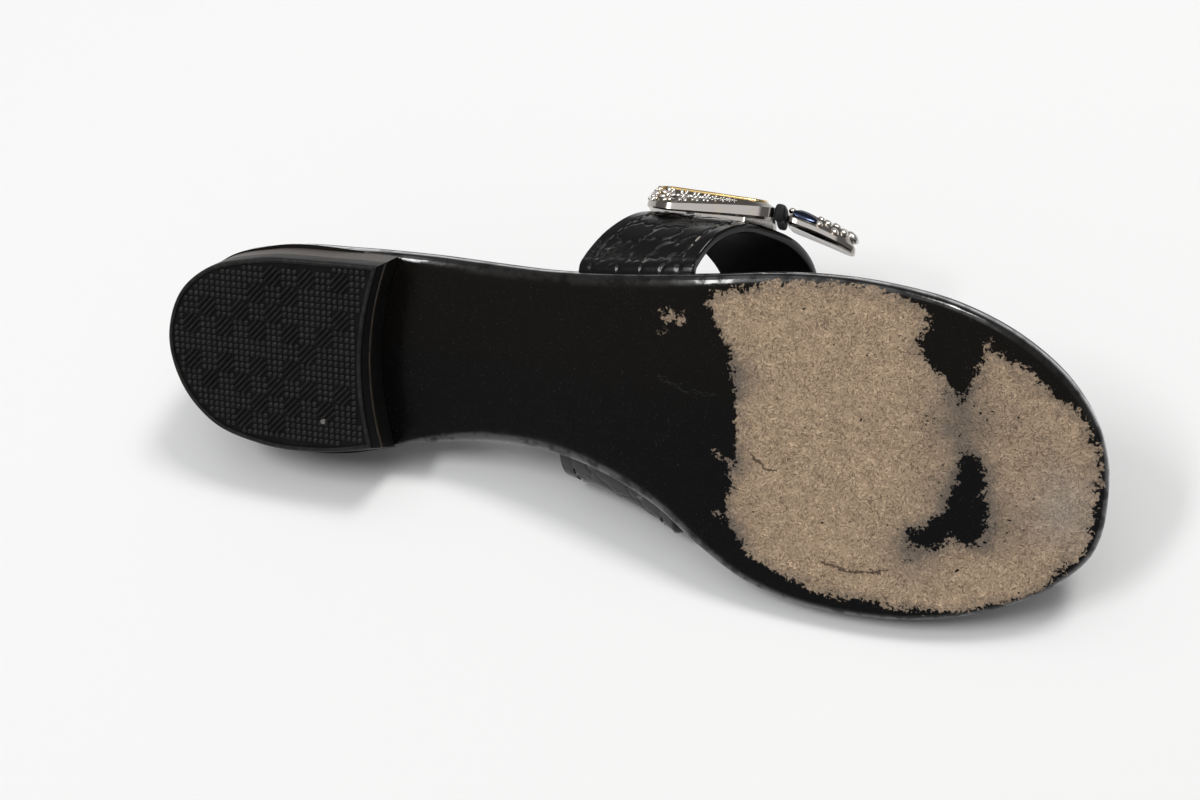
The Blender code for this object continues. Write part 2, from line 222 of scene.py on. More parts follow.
# Insole, with pockets under its edge for the strap ends
INSOLE = 5.2
INSOLE_INSET = 0.8
INSOLE_ROUND = 1.4
INSOLE_RINGS = 6
INSOLE_GRID = 4.0
POCKET_DEPTH = 13.0
POCKET_TOP = 7.4
POCKET_REACH = 6.0
POCKET_SIDE = 0.8
POCKET_BELOW = 1.0
POCKET_STEPS = 12

# Strap, a row for each section from the outer end to the inner end
STRAP_THICK = 2.4
STRAP_FREE = 40.0
STRAP_X = (136.5, 132.5)
STRAP = (
    # across: 0 outer edge to 1 inner edge, out: offset in y, up, forward, width,
    # twist: front edge in and rear edge out, curl: both edges in
    (0.00, 12.0, 5.65, 0.0, 33.0, 0.0, 0.0),
    (0.00, 4.0, 5.65, 0.0, 33.0, 0.0, 0.0),
    (0.00, 1.5, 5.65, 0.0, 33.0, 0.0, 0.0),
    (0.00, -0.9, 6.2, 0.0, 33.0, 0.0, 0.0),
    (0.00, -2.3, 9.0, 0.0, 33.0, 0.0, 0.0),
    (0.00, -7.5, 16.0, 3.0, 32.5, 0.4, 0.0),
    (0.00, -10.6, 25.0, 7.8, 31.5, 1.6, 0.3),
    (0.00, -9.6, 36.0, 12.8, 30.0, 2.3, 1.3),
    (0.00, -4.1, 48.0, 18.5, 29.0, 1.0, 2.8),
    (0.16, -0.9, 57.6, 23.5, 27.5, 0.4, 1.5),
    (0.48, 0.0, 58.5, 25.0, 26.0, 0.2, 0.4),
    (0.77, 0.0, 50.5, 20.5, 27.0, 0.0, 0.0),
    (1.00, -1.5, 36.0, 13.0, 30.0, 0.0, 0.0),
    (1.00, 6.0, 24.0, 6.5, 32.5, 0.0, 0.0),
    (1.00, 9.3, 15.0, 2.0, 34.5, 0.0, 0.0),
    (1.00, 6.4, 9.2, 0.3, 35.0, 0.0, 0.0),
    (1.00, 1.2, 6.2, 0.0, 35.0, 0.0, 0.0),
    (1.00, -1.5, 5.65, 0.0, 35.0, 0.0, 0.0),
    (1.00, -4.0, 5.65, 0.0, 35.0, 0.0, 0.0),
    (1.00, -12.0, 5.65, 0.0, 35.0, 0.0, 0.0),
)
STRAP_STEPS = 400
STRAP_LANES = 84
STRAP_RIM = 0.8
RIM_WIDE = 1.2
CORNER_DEGREES = 60.0
FLOOR_SOFT = 3.0
FLOOR_PRESS = 0.5
TUCKED = 17.0
TUCK_PLAIN = 5.0
SCALE_LONG = 8.0
SCALE_WIDE = 6.5
SCALE_ROWS = 4
SCALE_WOBBLE = 0.45
SCALE_WAVES = (
    # rate along the strap, rate across it, start
    (0.7, 1.9, 0.0),
    (1.6, 0.0, 1.0),
)
JITTER_LONG = 0.42
JITTER_WIDE = 0.38
GROOVE_WIDE = 0.9
NO_GROOVE = 9.0
SCALE_SEED = 11
# Sunk line under the stitches, and how far from it the scales start
SEAM_SINK = 0.14
SEAM_WIDE = 0.7
SEAM_FADE = 1.5
SEAM_CLEAR = 0.4
# Stitches: length as a share of their pitch, half width and height, and how deep they lie
STITCH_LONG = 0.40
STITCH_ROUND = (0.34, 0.30)
STITCH_SINK = 0.08
LANE_STEP = 0.05
# A place in the foot's room, which the stitches point away from
FOOT_MIDDLE = Vector((150.0, 0.0, 30.0))
# Creases, with the height of the bank beside each and its distance in widths
CREASE_BANK = 0.5
CREASE_BESIDE = 2.0
STRAP_CREASES = (
    # along the strap, across it, slant, half length, width, depth
    (46.0, -4.0, -0.12, 7.0, 1.2, 0.55),
    (50.5, -7.0, -0.05, 8.0, 1.3, 0.75),
    (55.0, -5.0, 0.10, 9.0, 1.4, 0.85),
    (59.5, -7.0, 0.20, 7.0, 1.2, 0.60),
    (33.0, 8.0, 0.15, 8.0, 1.4, 0.40),
    (112.0, 4.0, -0.12, 10.0, 1.6, 0.40),
    (126.0, -6.0, 0.10, 9.0, 1.5, 0.35),
)

# Buckle on the strap's outer shoulder: u runs forward, v up along the strap, n out of it
BUCKLE_AT = (157.5, -42.15, 43.95)
BUCKLE_SLOPE = 65.0
BUCKLE_YAW = 8.5
BUCKLE_BEND = (30.0, 32.0)
BUCKLE_DROOP = (500.0, 58.0)
BUCKLE_POINTS = 400
BUCKLE_SQUARE = 9.0
BEVEL_RINGS = 7
REAR_FRAME = (
    # u, half height, wall height, full thickness
    (-28.4, 8.0, 1.8, 5.0),
    (-24.5, 12.2, 2.0, 5.8),
    (-15.0, 14.0, 2.6, 5.6),
    (-4.0, 13.2, 3.2, 5.0),
    (5.9, 12.0, 3.6, 4.6),
)
REAR_WINDOW = (-18.5, -2.0, 7.2)
WINDOW_FOOT = 0.5
WINDOW_RIM = 1.12
WINDOW_DROP = 0.5
FACE_DISH = 0.97
FRONT_TIP = (
    # u, half height, wall height, full thickness
    (9.5, 6.2, 2.4, 4.4),
    (13.5, 6.9, 2.2, 5.0),
    (19.5, 6.4, 2.2, 4.6),
    (25.0, 5.2, 2.2, 4.8),
    (28.4, 3.2, 2.0, 4.4),
)
FRONT_SHIFT = -2.6
TIP_STRIPS = (-6.0, 6.5, 1.0)
FRAME_BEVEL = 2.6
FRAME_SWELL = 0.2
FRAME_FOOT = (
    # inset, share of the wall's height
    (0.5, 0.0),
    (0.0, 0.25),
    (0.0, 1.0),
)
TIP_FOOT = (
    # inset, share of the wall's height
    (0.9, 0.0),
    (0.25, 0.2),
    (0.0, 0.45),
    (0.0, 1.0),
)
# Steps along and up the bevel that tell its slope
BEVEL_REACH = 3
BEVEL_STEP = 0.1
# Gold cord round the rear frame's face
RIM_SIDES = 10
RIM_SINK = 0.1
# Engraved leaves: distances along the bevel, slants, and where they end towards the front
VEIN_PITCH = 3.4
VEIN_LEAN = 0.45
VEIN_SHARE = 0.65
LOBE_PITCH = 1.7
LOBE_LEAN = 0.6
ENGRAVED_TO = 2.0
ENGRAVED_FADE = 18.0
# How high the metal's places lie, from 0 in a tarnished hollow to 1
METAL_HIGH = 0.8
WALL_HIGH = 0.85
BEVEL_LOW = 0.6
TIP_HIGH = 0.6
TIP_HOLLOWS = 0.3
# Cast flowers on the rear frame's bevel, at the outline point nearest to u and v
FLORETS = (
    # u, v to both sides, radius, petals
    (-28.4, 0.0, 2.4, 6),
    (-28.2, 4.6, 2.2, 6),
    (-26.4, 9.6, 2.4, 7),
    (-22.4, 12.6, 2.3, 7),
    (-18.3, 13.7, 2.0, 6),
    (-14.8, 13.9, 1.7, 6),
    (-11.8, 13.8, 1.45, 6),
    (-9.3, 13.6, 1.2, 5),
    (-7.2, 13.5, 1.0, 5),
    (-5.4, 13.4, 0.85, 5),
    (-3.9, 13.2, 0.7, 4),
)
FLORET_AT = 0.5
FLORET_BEAD = 0.34
PETAL = (0.36, 0.25, 0.22)
PETAL_OUT = (0.66, 0.0, 0.05)
PETAL_TILT = -22.0
# Beads on the front tip
BEAD_FLAT = 0.8
BEADS = (
    # u, v as a share of the half height, radius
    (10.4, 0.25, 1.25),
    (15.6, 0.45, 1.10),
    (18.4, -0.85, 1.05),
    (18.6, -0.35, 1.10),
    (18.4, 0.15, 1.10),
    (18.6, 0.70, 1.05),
    (20.6, -0.62, 1.20),
    (20.8, -0.10, 1.10),
    (20.6, 0.42, 1.15),
    (20.8, 0.88, 1.00),
    (22.7, -0.85, 1.15),
    (22.9, -0.33, 1.25),
    (22.7, 0.20, 1.15),
    (22.9, 0.72, 1.10),
    (25.0, -0.62, 1.20),
    (25.1, 0.00, 1.20),
    (25.0, 0.62, 1.15),
    (27.2, 0.00, 1.90),
)
# Polished dark facet on the front tip's lower bevel
ALMOND_AT = (13.6, -6.9)
ALMOND_SHARE = 0.5
ALMOND_HIGH = 0.9
ALMOND = (3.7, 1.35, 0.55)
# Leather roll between the two frames
WRAP_AT = 7.7
WRAP_WIDE = 3.0
WRAP_TALL = 5.0
WRAP_HALF = 6.8
WRAP_SQUARE = 0.6
WRAP_POINTS = 40
WRAP_RINGS = 41
WRAP_DULL = 0.22
WRAP_OUTSIDE = 0.15
WRAP_END = 0.93
WRAP_ROUND = 0.3
WRAP_FOLD = 0.05
WRAP_FOLDS = 9.0

# Colours without settings
# Painted light tint for the waist's outer side, which lies uppermost towards the light
LIT_SIDE_WARM_BLACK = (0.0064, 0.0052, 0.0038)
# Painted grey-blue sheen on the sole's rounded edge
EDGE_SHEEN_BLACK = (0.011, 0.0115, 0.0125)
DUST = (0.16, 0.15, 0.14)
SCUFF = (0.035, 0.034, 0.034)
RUBBED_TOE = (0.40, 0.36, 0.325)
PIT = (0.014, 0.012, 0.011)
CRACK = (0.035, 0.026, 0.02)
STACK_DARK = (0.030, 0.025, 0.023)
STACK_RUST = (0.20, 0.12, 0.09)
BREAST = (0.006, 0.0058, 0.0056)
BREAST_DUST = (0.05, 0.047, 0.045)
GLUE = (0.085, 0.066, 0.044)
RUBBER_CLOUD = (0.0046, 0.0045, 0.0044)
# Lighter raised tops of the tread: partly worn rubber, partly painted highlight
RUBBER_TOPS_WORN_AND_LIT = (0.030, 0.029, 0.028)
RUBBER_WALL = (0.020, 0.020, 0.021)
RUBBER_DUST = (0.15, 0.13, 0.11)
LINING = (0.0072, 0.0072, 0.0078)
LINING_RUBBED = (0.0165, 0.0160, 0.0160)
LINT = (0.06, 0.058, 0.055)
LEATHER_CLOUD = (0.0040, 0.0038, 0.0036)
THREAD = (0.010, 0.010, 0.0105)
THREAD_PALE = (0.30, 0.27, 0.235)
# Painted sheen along the thread's twist
THREAD_SHEEN = (0.035, 0.033, 0.031)
SILVER_SHADE = (0.10, 0.085, 0.07)
CAST_SHADE = (0.12, 0.10, 0.08)
GOLD_WARM = (0.62, 0.40, 0.15)
GOLD_SHADE = (0.12, 0.07, 0.03)
# Metals without settings: their colour, its yellowed places and its hollows
FACET = ((0.05, 0.065, 0.11), (0.03, 0.04, 0.07), (0.01, 0.01, 0.015))
STEEL = ((0.42, 0.41, 0.40), (0.36, 0.34, 0.31), (0.18, 0.16, 0.14))

# Camera, fitted to the sole's outline on the upright shoe
CAMERA_AT = Vector((273.49, -119.70, -393.52))
CAMERA_TURN = (8.5, 19.0, 4.253)
CAMERA_AIM = Vector((127.0, 3.0, 10.0))
SENSOR = 36.0
CLIP_START = 0.01
LIGHTS = (
    # setting of its power, place, aim, width and length, tint
    ("key", (0.60, 0.85, 1.75), (0.0, 0.0, 0.02), (0.5, 0.5), (1.0, 0.99, 0.97)),
    ("top", (0.0, 0.30, 1.80), (0.0, 0.0, 0.0), (2.2, 2.2), (0.98, 0.99, 1.0)),
    ("edge", (-0.90, -0.50, 1.75), (-0.90, -0.50, 0.0), (0.3, 0.9), (1.0, 1.0, 1.0)),
)


def shoe_place():
    """Matrix from the upright shoe's millimetres to the frame's metres, read from its two tread faces."""
    mounts = {mount["name"]: mount for mount in frame["record"]["mounts"]}
    heel = Vector(mounts["heel_tread"]["pos_m"])
    front = Vector(mounts["forefoot_tread"]["pos_m"])
    up = -Vector(mounts["heel_tread"]["axis"]).normalized()
    run = (front - heel).normalized()
    reach = BALL_MARK - HEEL_MARK
    turn = Matrix.Rotation(-math.atan2(reach.y, reach.x), 3, up)
    forward = turn @ run
    axes = Matrix((forward, up.cross(forward), up)).transposed()
    return Matrix.Translation(heel - axes @ (HEEL_MARK * MM)) @ axes.to_4x4() @ Matrix.Scale(MM, 4)


SHOE = shoe_place()
SHOE_AXES = (SHOE.to_3x3() * (1 / MM)).normalized()
FLOOR_UP = SHOE_AXES.transposed() @ Vector((0.0, 0.0, 1.0))


def colour_of(name, description, default):
    """A colour setting."""
    return FloatVectorProperty(name=name, description=description, subtype="COLOR", size=3, default=default)


def number_of(name, description, default, low, high, **more):
    """A number setting between two limits."""
    return FloatProperty(name=name, description=description, default=default, min=low, max=high, **more)


def power_of(name, description, default):
    """A light's power setting."""
    return number_of(name, description, default, 0.0, 500.0, unit="POWER")


class SoleSettings(PropertyGroup):
    """Finish of outsole and heel."""

    black: colour_of("Black finish", "Colour of the finished sole leather", (0.0036, 0.0037, 0.0043))
    bare_light: colour_of("Bare leather, light", "Light fibres of the worn forefoot", (0.86, 0.635, 0.435))
    bare_dark: colour_of("Bare leather, dark", "Dark fibres of the worn forefoot", (0.225, 0.152, 0.096))
    smudge: colour_of("Smudge", "Grey dirt on the worn forefoot", (0.150, 0.132, 0.115))
    rubber: colour_of("Rubber", "Colour of the heel's rubber", (0.0026, 0.0026, 0.0027))
    stack: colour_of("Heel stack", "Colour of the layer over the rubber", (0.085, 0.068, 0.058))
    stud_pitch: number_of("Stud pitch", "Distance between the heel's studs in millimetres", 1.75, 0.5, 6.0)


class StrapSettings(PropertyGroup):
    """Finish of the strap."""

    leather: colour_of("Leather", "Colour of the embossed leather", (0.0020, 0.0020, 0.0022))
    rubbed: colour_of("Rubbed grooves", "Colour of the rubbed lines between the scales", (0.17, 0.165, 0.155))
    relief: number_of("Relief", "Depth of the embossing in millimetres", 0.26, 0.0, 1.0)
    seam_inset: number_of("Seam inset", "Distance of the seam from the edge in millimetres", 4.0, 1.0, 10.0)
    stitch_pitch: number_of("Stitch pitch", "Distance between stitches in millimetres", 3.1, 1.0, 8.0)


class BuckleSettings(PropertyGroup):
    """Finish of the buckle."""

    silver: colour_of("Silver", "Colour of the polished metal", (0.44, 0.41, 0.385))
    # Lighter copy of the buckle's silver for the flowers and beads: a painted highlight
    bright: colour_of("Cast silver", "Colour of the cast flowers", (0.86, 0.83, 0.79))
    warm: colour_of("Warm silver", "Colour of the metal's yellowed places", (0.46, 0.40, 0.31))
    gold: colour_of("Gold", "Colour of the rim round the face", (0.78, 0.56, 0.24))
    engraving: number_of("Engraving", "Depth of the engraved leaves in millimetres", 0.30, 0.0, 1.5)
    rim_radius: number_of("Rim radius", "Radius of the gold rim in millimetres", 0.5, 0.1, 1.5)


class StageSettings(PropertyGroup):
    """Camera, floor and lights."""

    focal: number_of("Focal length", "Lens of the camera in millimetres", 50.5, 10.0, 300.0,
                     subtype="DISTANCE_CAMERA")
    floor: colour_of("Floor", "Colour of the floor", (0.86, 0.86, 0.86))
    floor_side: number_of("Floor side", "Length of the floor's side", 6.0, 1.0, 50.0, unit="LENGTH")
    key: power_of("Key light", "Power of the light that draws the shadow", 15.6)
    top: power_of("Top light", "Power of the broad light overhead", 14.8)
    edge: power_of("Edge light", "Power of the light behind that shines along the sole's edge", 15.0)
    sky: number_of("Sky", "Strength of the even light from all round", 0.205, 0.0, 5.0)


# Curves and outlines

def smooth(knots, values, at):
    """Values at new places on a smooth curve through the known ones."""
    knots = np.asarray(knots, float)
    values = np.asarray(values, float)
    slopes = np.gradient(values, knots, axis=0)
    i = np.clip(np.searchsorted(knots, at) - 1, 0, len(knots) - 2)
    step = knots[i + 1] - knots[i]
    t = np.clip((at - knots[i]) / step, 0.0, 1.0)
    if values.ndim > 1:
        step = step[:, None]
        t = t[:, None]
    start = (1 + 2 * t) * (1 - t) ** 2 * values[i] + t * (1 - t) ** 2 * step * slopes[i]
    end = t ** 2 * (3 - 2 * t) * values[i + 1] + t ** 2 * (t - 1) * step * slopes[i + 1]
    return start + end


def along(points):
    """Distance travelled at each point of a path."""
    steps = np.linalg.norm(np.diff(points, axis=0), axis=1)
    return np.concatenate([[0.0], np.cumsum(steps)])


def evenly(points, count):
    """The same open path with evenly spaced points."""
    far = along(points)
    at = np.linspace(0.0, far[-1], count)
    return np.column_stack([np.interp(at, far, column) for column in points.T])


def sole_edge():
    """Outline of the sole, from the heel along the outer side to the toe and home, and its inward normals."""
    table = np.array(OUTLINE)
    loop = np.vstack([table[:, [0, 1]], table[-2:0:-1, [0, 2]]])
    padded = np.vstack([loop[-3:], loop, loop[:4]])
    knots = along(padded)
    dense = smooth(knots, padded, np.linspace(knots[3], knots[-4], OUTLINE_DENSE * len(loop)))
    edge = evenly(dense, OUTLINE_POINTS + 1)[:-1]
    ahead = np.roll(edge, -1, axis=0) - np.roll(edge, 1, axis=0)
    ahead /= np.linalg.norm(ahead, axis=1)[:, None]
    return edge, np.column_stack([-ahead[:, 1], ahead[:, 0]])


EDGE, INWARD = sole_edge()
TOE_POINT = int(np.argmax(EDGE[:, 0]))


def edge_y(x, inner):
    """Where the sole's edge lies at x, on the outer or the inner side."""
    side = EDGE[: TOE_POINT + 1]
    if inner:
        side = np.vstack([EDGE[:1], EDGE[:TOE_POINT - 1:-1]])
    return np.interp(x, side[:, 0], side[:, 1])


def rise(x):
    """Height of the sole's bottom face over the ground."""
    arch = np.clip((TREAD_START - x) / (TREAD_START - SEAT_END), 0.0, 1.0)
    toe = np.clip((x - TREAD_END) / (TOE - TREAD_END), 0.0, 1.0)
    return HEEL_RISE * arch ** 2 * (3 - 2 * arch) + TOE_SPRING * toe ** 2


def sole_ring(inset, height):
    """The sole's outline pulled in by inset, at a height over its bottom face."""
    flat = EDGE + INWARD * np.broadcast_to(inset, OUTLINE_POINTS)[:, None]
    return np.column_stack([flat, np.broadcast_to(height, OUTLINE_POINTS)])


def quarter(count):
    """Steps round a quarter circle: what is left to go inward and what is done upward, from 1, 0 to 0, 1."""
    return [(1 - math.sin(angle), 1 - math.cos(angle)) for angle in np.linspace(0.0, math.pi / 2, count)]


def depth_inside(points, outline):
    """How far each point lies inside an outline, negative outside it."""
    outline = np.asarray(outline, float)
    after = np.roll(outline, -1, axis=0)
    run = after - outline
    to = points[:, None, :] - outline
    share = np.clip((to * run).sum(axis=2) / (run ** 2).sum(axis=1), 0.0, 1.0)
    gap = np.linalg.norm(to - share[..., None] * run, axis=2).min(axis=1)
    spans = (outline[:, 1] > points[:, 1, None]) != (after[:, 1] > points[:, 1, None])
    with np.errstate(divide="ignore", invalid="ignore"):
        cross = outline[:, 0] + (points[:, 1, None] - outline[:, 1]) * run[:, 0] / run[:, 1]
    inside = (spans & (points[:, 0, None] < cross)).sum(axis=1) % 2 == 1
    return np.where(inside, gap, -gap)


# Meshes

def ring_shell(rings, joined=False):
    """Shell through rings of equal count, extruded from ring to ring, then capped or joined up."""
    bm = bmesh.new()
    bmesh.ops.create_circle(bm, segments=len(rings[0]))
    row = bm.verts[:]
    edges = bm.edges[:]
    first = edges
    for vert, point in zip(row, rings[0]):
        vert.co = point
    for points in rings[1:]:
        made = bmesh.ops.extrude_edge_only(bm, edges=edges)["geom"]
        new = {item for item in made if isinstance(item, bmesh.types.BMVert)}
        edges = [item for item in made if isinstance(item, bmesh.types.BMEdge)]
        row = [next(e.other_vert(v) for e in v.link_edges if e.other_vert(v) in new) for v in row]
        for vert, point in zip(row, points):
            vert.co = point
    if joined:
        bmesh.ops.bridge_loops(bm, edges=first + edges)
    else:
        bmesh.ops.edgeloop_fill(bm, edges=first)
        bmesh.ops.edgeloop_fill(bm, edges=edges)
    return bm


def cut_strips(bm, stations, axis):
    """Cuts every face across at the stations along an axis."""
    across = Vector((0.0, 0.0, 0.0))
    across[axis] = 1.0
    for station in stations:
        geometry = bm.verts[:] + bm.edges[:] + bm.faces[:]
        place = across * float(station)
        bmesh.ops.bisect_plane(bm, geom=geometry, dist=CUT_SNAP, plane_co=place, plane_no=across)


def stamp(bm, shape, places):
    """Adds a copy of a small shape at each place, and frees the shape."""
    mesh = bpy.data.meshes.new("stamp")
    shape.to_mesh(mesh)
    shape.free()
    for place in places:
        copy = mesh.copy()
        copy.transform(place)
        bm.from_mesh(copy)
        bpy.data.meshes.remove(copy)
    bpy.data.meshes.remove(mesh)


def ball(around, up):
    """A round bead of radius 1."""
    bm = bmesh.new()
    bmesh.ops.create_uvsphere(bm, u_segments=around, v_segments=up, radius=1.0)
    return bm


def lift(bm):
    """Raises a shape made on a flat sole to the sole's arch and toe spring."""
    for vert in bm.verts:
        vert.co.z += float(rise(vert.co.x))


def mark(bm, name, values):
    """Stores a number for each vertex, or one for all, for the materials to read."""
    layer = bm.verts.layers.float.new(name)
    for vert, value in zip(bm.verts, np.broadcast_to(values, len(bm.verts))):
        vert[layer] = float(value)


def to_object(name, bm, sharp=SHARP_DEGREES):
    """An object from a mesh in the shoe's millimetres, laid in the frame, smooth but for its sharp edges."""
    bm.transform(SHOE)
    bmesh.ops.recalc_face_normals(bm, faces=bm.faces)
    for face in bm.faces:
        face.smooth = True
    for edge in bm.edges:
        edge.smooth = edge.is_manifold and edge.calc_face_angle() < math.radians(sharp)
    mesh = bpy.data.meshes.new(name)
    bm.to_mesh(mesh)
    bm.free()
    obj = bpy.data.objects.new(name, mesh)
    bpy.context.scene.collection.objects.link(obj)
    return obj


def add_piece(name, bm, finish, slot, *nodes, sharp=SHARP_DEGREES):
    """A finished piece that rides on the frame, and stands for the nodes it is given."""
    obj = to_object(name, bm, sharp)
    obj.data.materials.append(finish)
    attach(obj, "root")
    if nodes:
        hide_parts(*nodes)
    return obj


# Materials

def maths(operation, swapped=False):
    """A method of Value that adds a maths node on itself and another value."""
    def method(self, other=0.0):
        pair = (other, self) if swapped else (self, other)
        return self.node("ShaderNodeMath", {"operation": operation}, dict(enumerate(pair)))
    return method


class Value:
    """A socket in a material, so that shader maths reads as plain expressions."""

    def __init__(self, tree, socket):
        self.tree = tree
        self.socket = socket

    def node(self, kind, settings, inputs, output=0):
        """Adds a node with its settings and sockets, and gives one of its outputs."""
        made = self.tree.nodes.new(kind)
        for name, value in settings.items():
            setattr(made, name, value)
        for key, value in inputs.items():
            if isinstance(value, Value):
                self.tree.links.new(value.socket, made.inputs[key])
            else:
                made.inputs[key].default_value = value
        return Value(self.tree, made.outputs[output])

    __add__ = maths("ADD")
    __radd__ = maths("ADD", swapped=True)
    __sub__ = maths("SUBTRACT")
    __rsub__ = maths("SUBTRACT", swapped=True)
    __mul__ = maths("MULTIPLY")
    __rmul__ = maths("MULTIPLY", swapped=True)
    __pow__ = maths("POWER")
    most = maths("MAXIMUM")
    least = maths("MINIMUM")
    size = maths("ABSOLUTE")

    def swing(self, amount):
        """This noise about 0, scaled by an amount."""
        return (self - 0.5) * amount

    def between(self, low, high):
        """0 below low, 1 above high and a soft step between."""
        settings = {"interpolation_type": "SMOOTHSTEP"}
        return self.node("ShaderNodeMapRange", settings, {0: self, 1: low, 2: high, 3: 0.0, 4: 1.0})

    def pick(self, first, second):
        """A colour between two, by this value."""
        first = first if isinstance(first, Value) else (*first, 1.0)
        second = second if isinstance(second, Value) else (*second, 1.0)
        return self.node("ShaderNodeMix", {"data_type": "RGBA"}, {0: self, 6: first, 7: second}, 2)

    def noise(self, scale, detail=3.0, rough=0.55, distortion=0.0):
        """Even noise from 0 to 1 at this place."""
        values = {"Vector": self, "Scale": scale, "Detail": detail, "Roughness": rough}
        return self.node("ShaderNodeTexNoise", {}, {**values, "Distortion": distortion})

    def axes(self):
        """The x, y and z of this place."""
        made = self.tree.nodes.new("ShaderNodeSeparateXYZ")
        self.tree.links.new(self.socket, made.inputs[0])
        return [Value(self.tree, socket) for socket in made.outputs]

    def stretched(self, x, y, z):
        """This place with each axis scaled."""
        return self.node("ShaderNodeVectorMath", {"operation": "MULTIPLY"}, {0: self, 1: (x, y, z)})


class Finish:
    """A new material with its shader, read in the upright shoe's millimetres."""

    def __init__(self, name):
        self.material = bpy.data.materials.new(name)
        self.material.use_nodes = True
        self.tree = self.material.node_tree
        self.shader = self.tree.nodes["Principled BSDF"]
        self.start = Value(self.tree, None)
        turn = SHOE_AXES.transposed()
        place = turn @ SHOE.translation * (-1 / MM)
        here = self.start.node("ShaderNodeTexCoord", {}, {}, 3)
        scale = (1 / MM, 1 / MM, 1 / MM)
        settings = {"vector_type": "POINT"}
        values = {"Vector": here, "Location": place, "Rotation": turn.to_euler(), "Scale": scale}
        self.place = self.start.node("ShaderNodeMapping", settings, values)

    def attribute(self, name):
        """A number stored on the piece's vertices."""
        return self.start.node("ShaderNodeAttribute", {"attribute_name": name}, {}, 2)

    def bump(self, height, distance, strength):
        """Normal of a relief, whose distance is in millimetres."""
        values = {"Height": height, "Distance": distance * MM, "Strength": strength}
        return self.start.node("ShaderNodeBump", {}, values)

    def set(self, **sockets):
        """Sets or links the shader's sockets."""
        for key, value in sockets.items():
            socket = self.shader.inputs[key.replace("_", " ")]
            if isinstance(value, Value):
                self.tree.links.new(value.socket, socket)
            else:
                socket.default_value = (*value, 1.0) if isinstance(value, (tuple, list)) else value
        return self.material


def run_distance(x, y, crack):
    """Distance in the sole's plan from a straight run."""
    start_x, start_y, end_x, end_y = crack
    run_x = end_x - start_x
    run_y = end_y - start_y
    long = run_x ** 2 + run_y ** 2
    share = ((x - start_x) * (run_x / long) + (y - start_y) * (run_y / long)).most(0.0).least(1.0)
    off_x = x - start_x - share * run_x
    off_y = y - start_y - share * run_y
    return (off_x * off_x + off_y * off_y) ** 0.5


def cracks(place):
    """1 along the sole's cracks, which wander a little, and 0 off them."""
    x, y, _ = place.axes()
    x = x + place.noise(0.5, 3.0, 0.6).swing(3.0)
    y = y + place.noise(0.37, 3.0, 0.6).swing(4.0)
    near = None
    for crack in CRACKS:
        far = run_distance(x, y, crack)
        near = far if near is None else near.least(far)
    width = 0.12 + place.noise(0.8, 2.0).between(0.35, 0.7) * 0.25
    return 1 - (near - width).between(0.0, 0.14)


def worms(place, scale, twist, width):
    """Short curled lines, as loose fibres lie."""
    return 1 - (place.noise(scale, 1.0, 0.4, twist) - 0.5).size().between(0.0, width)


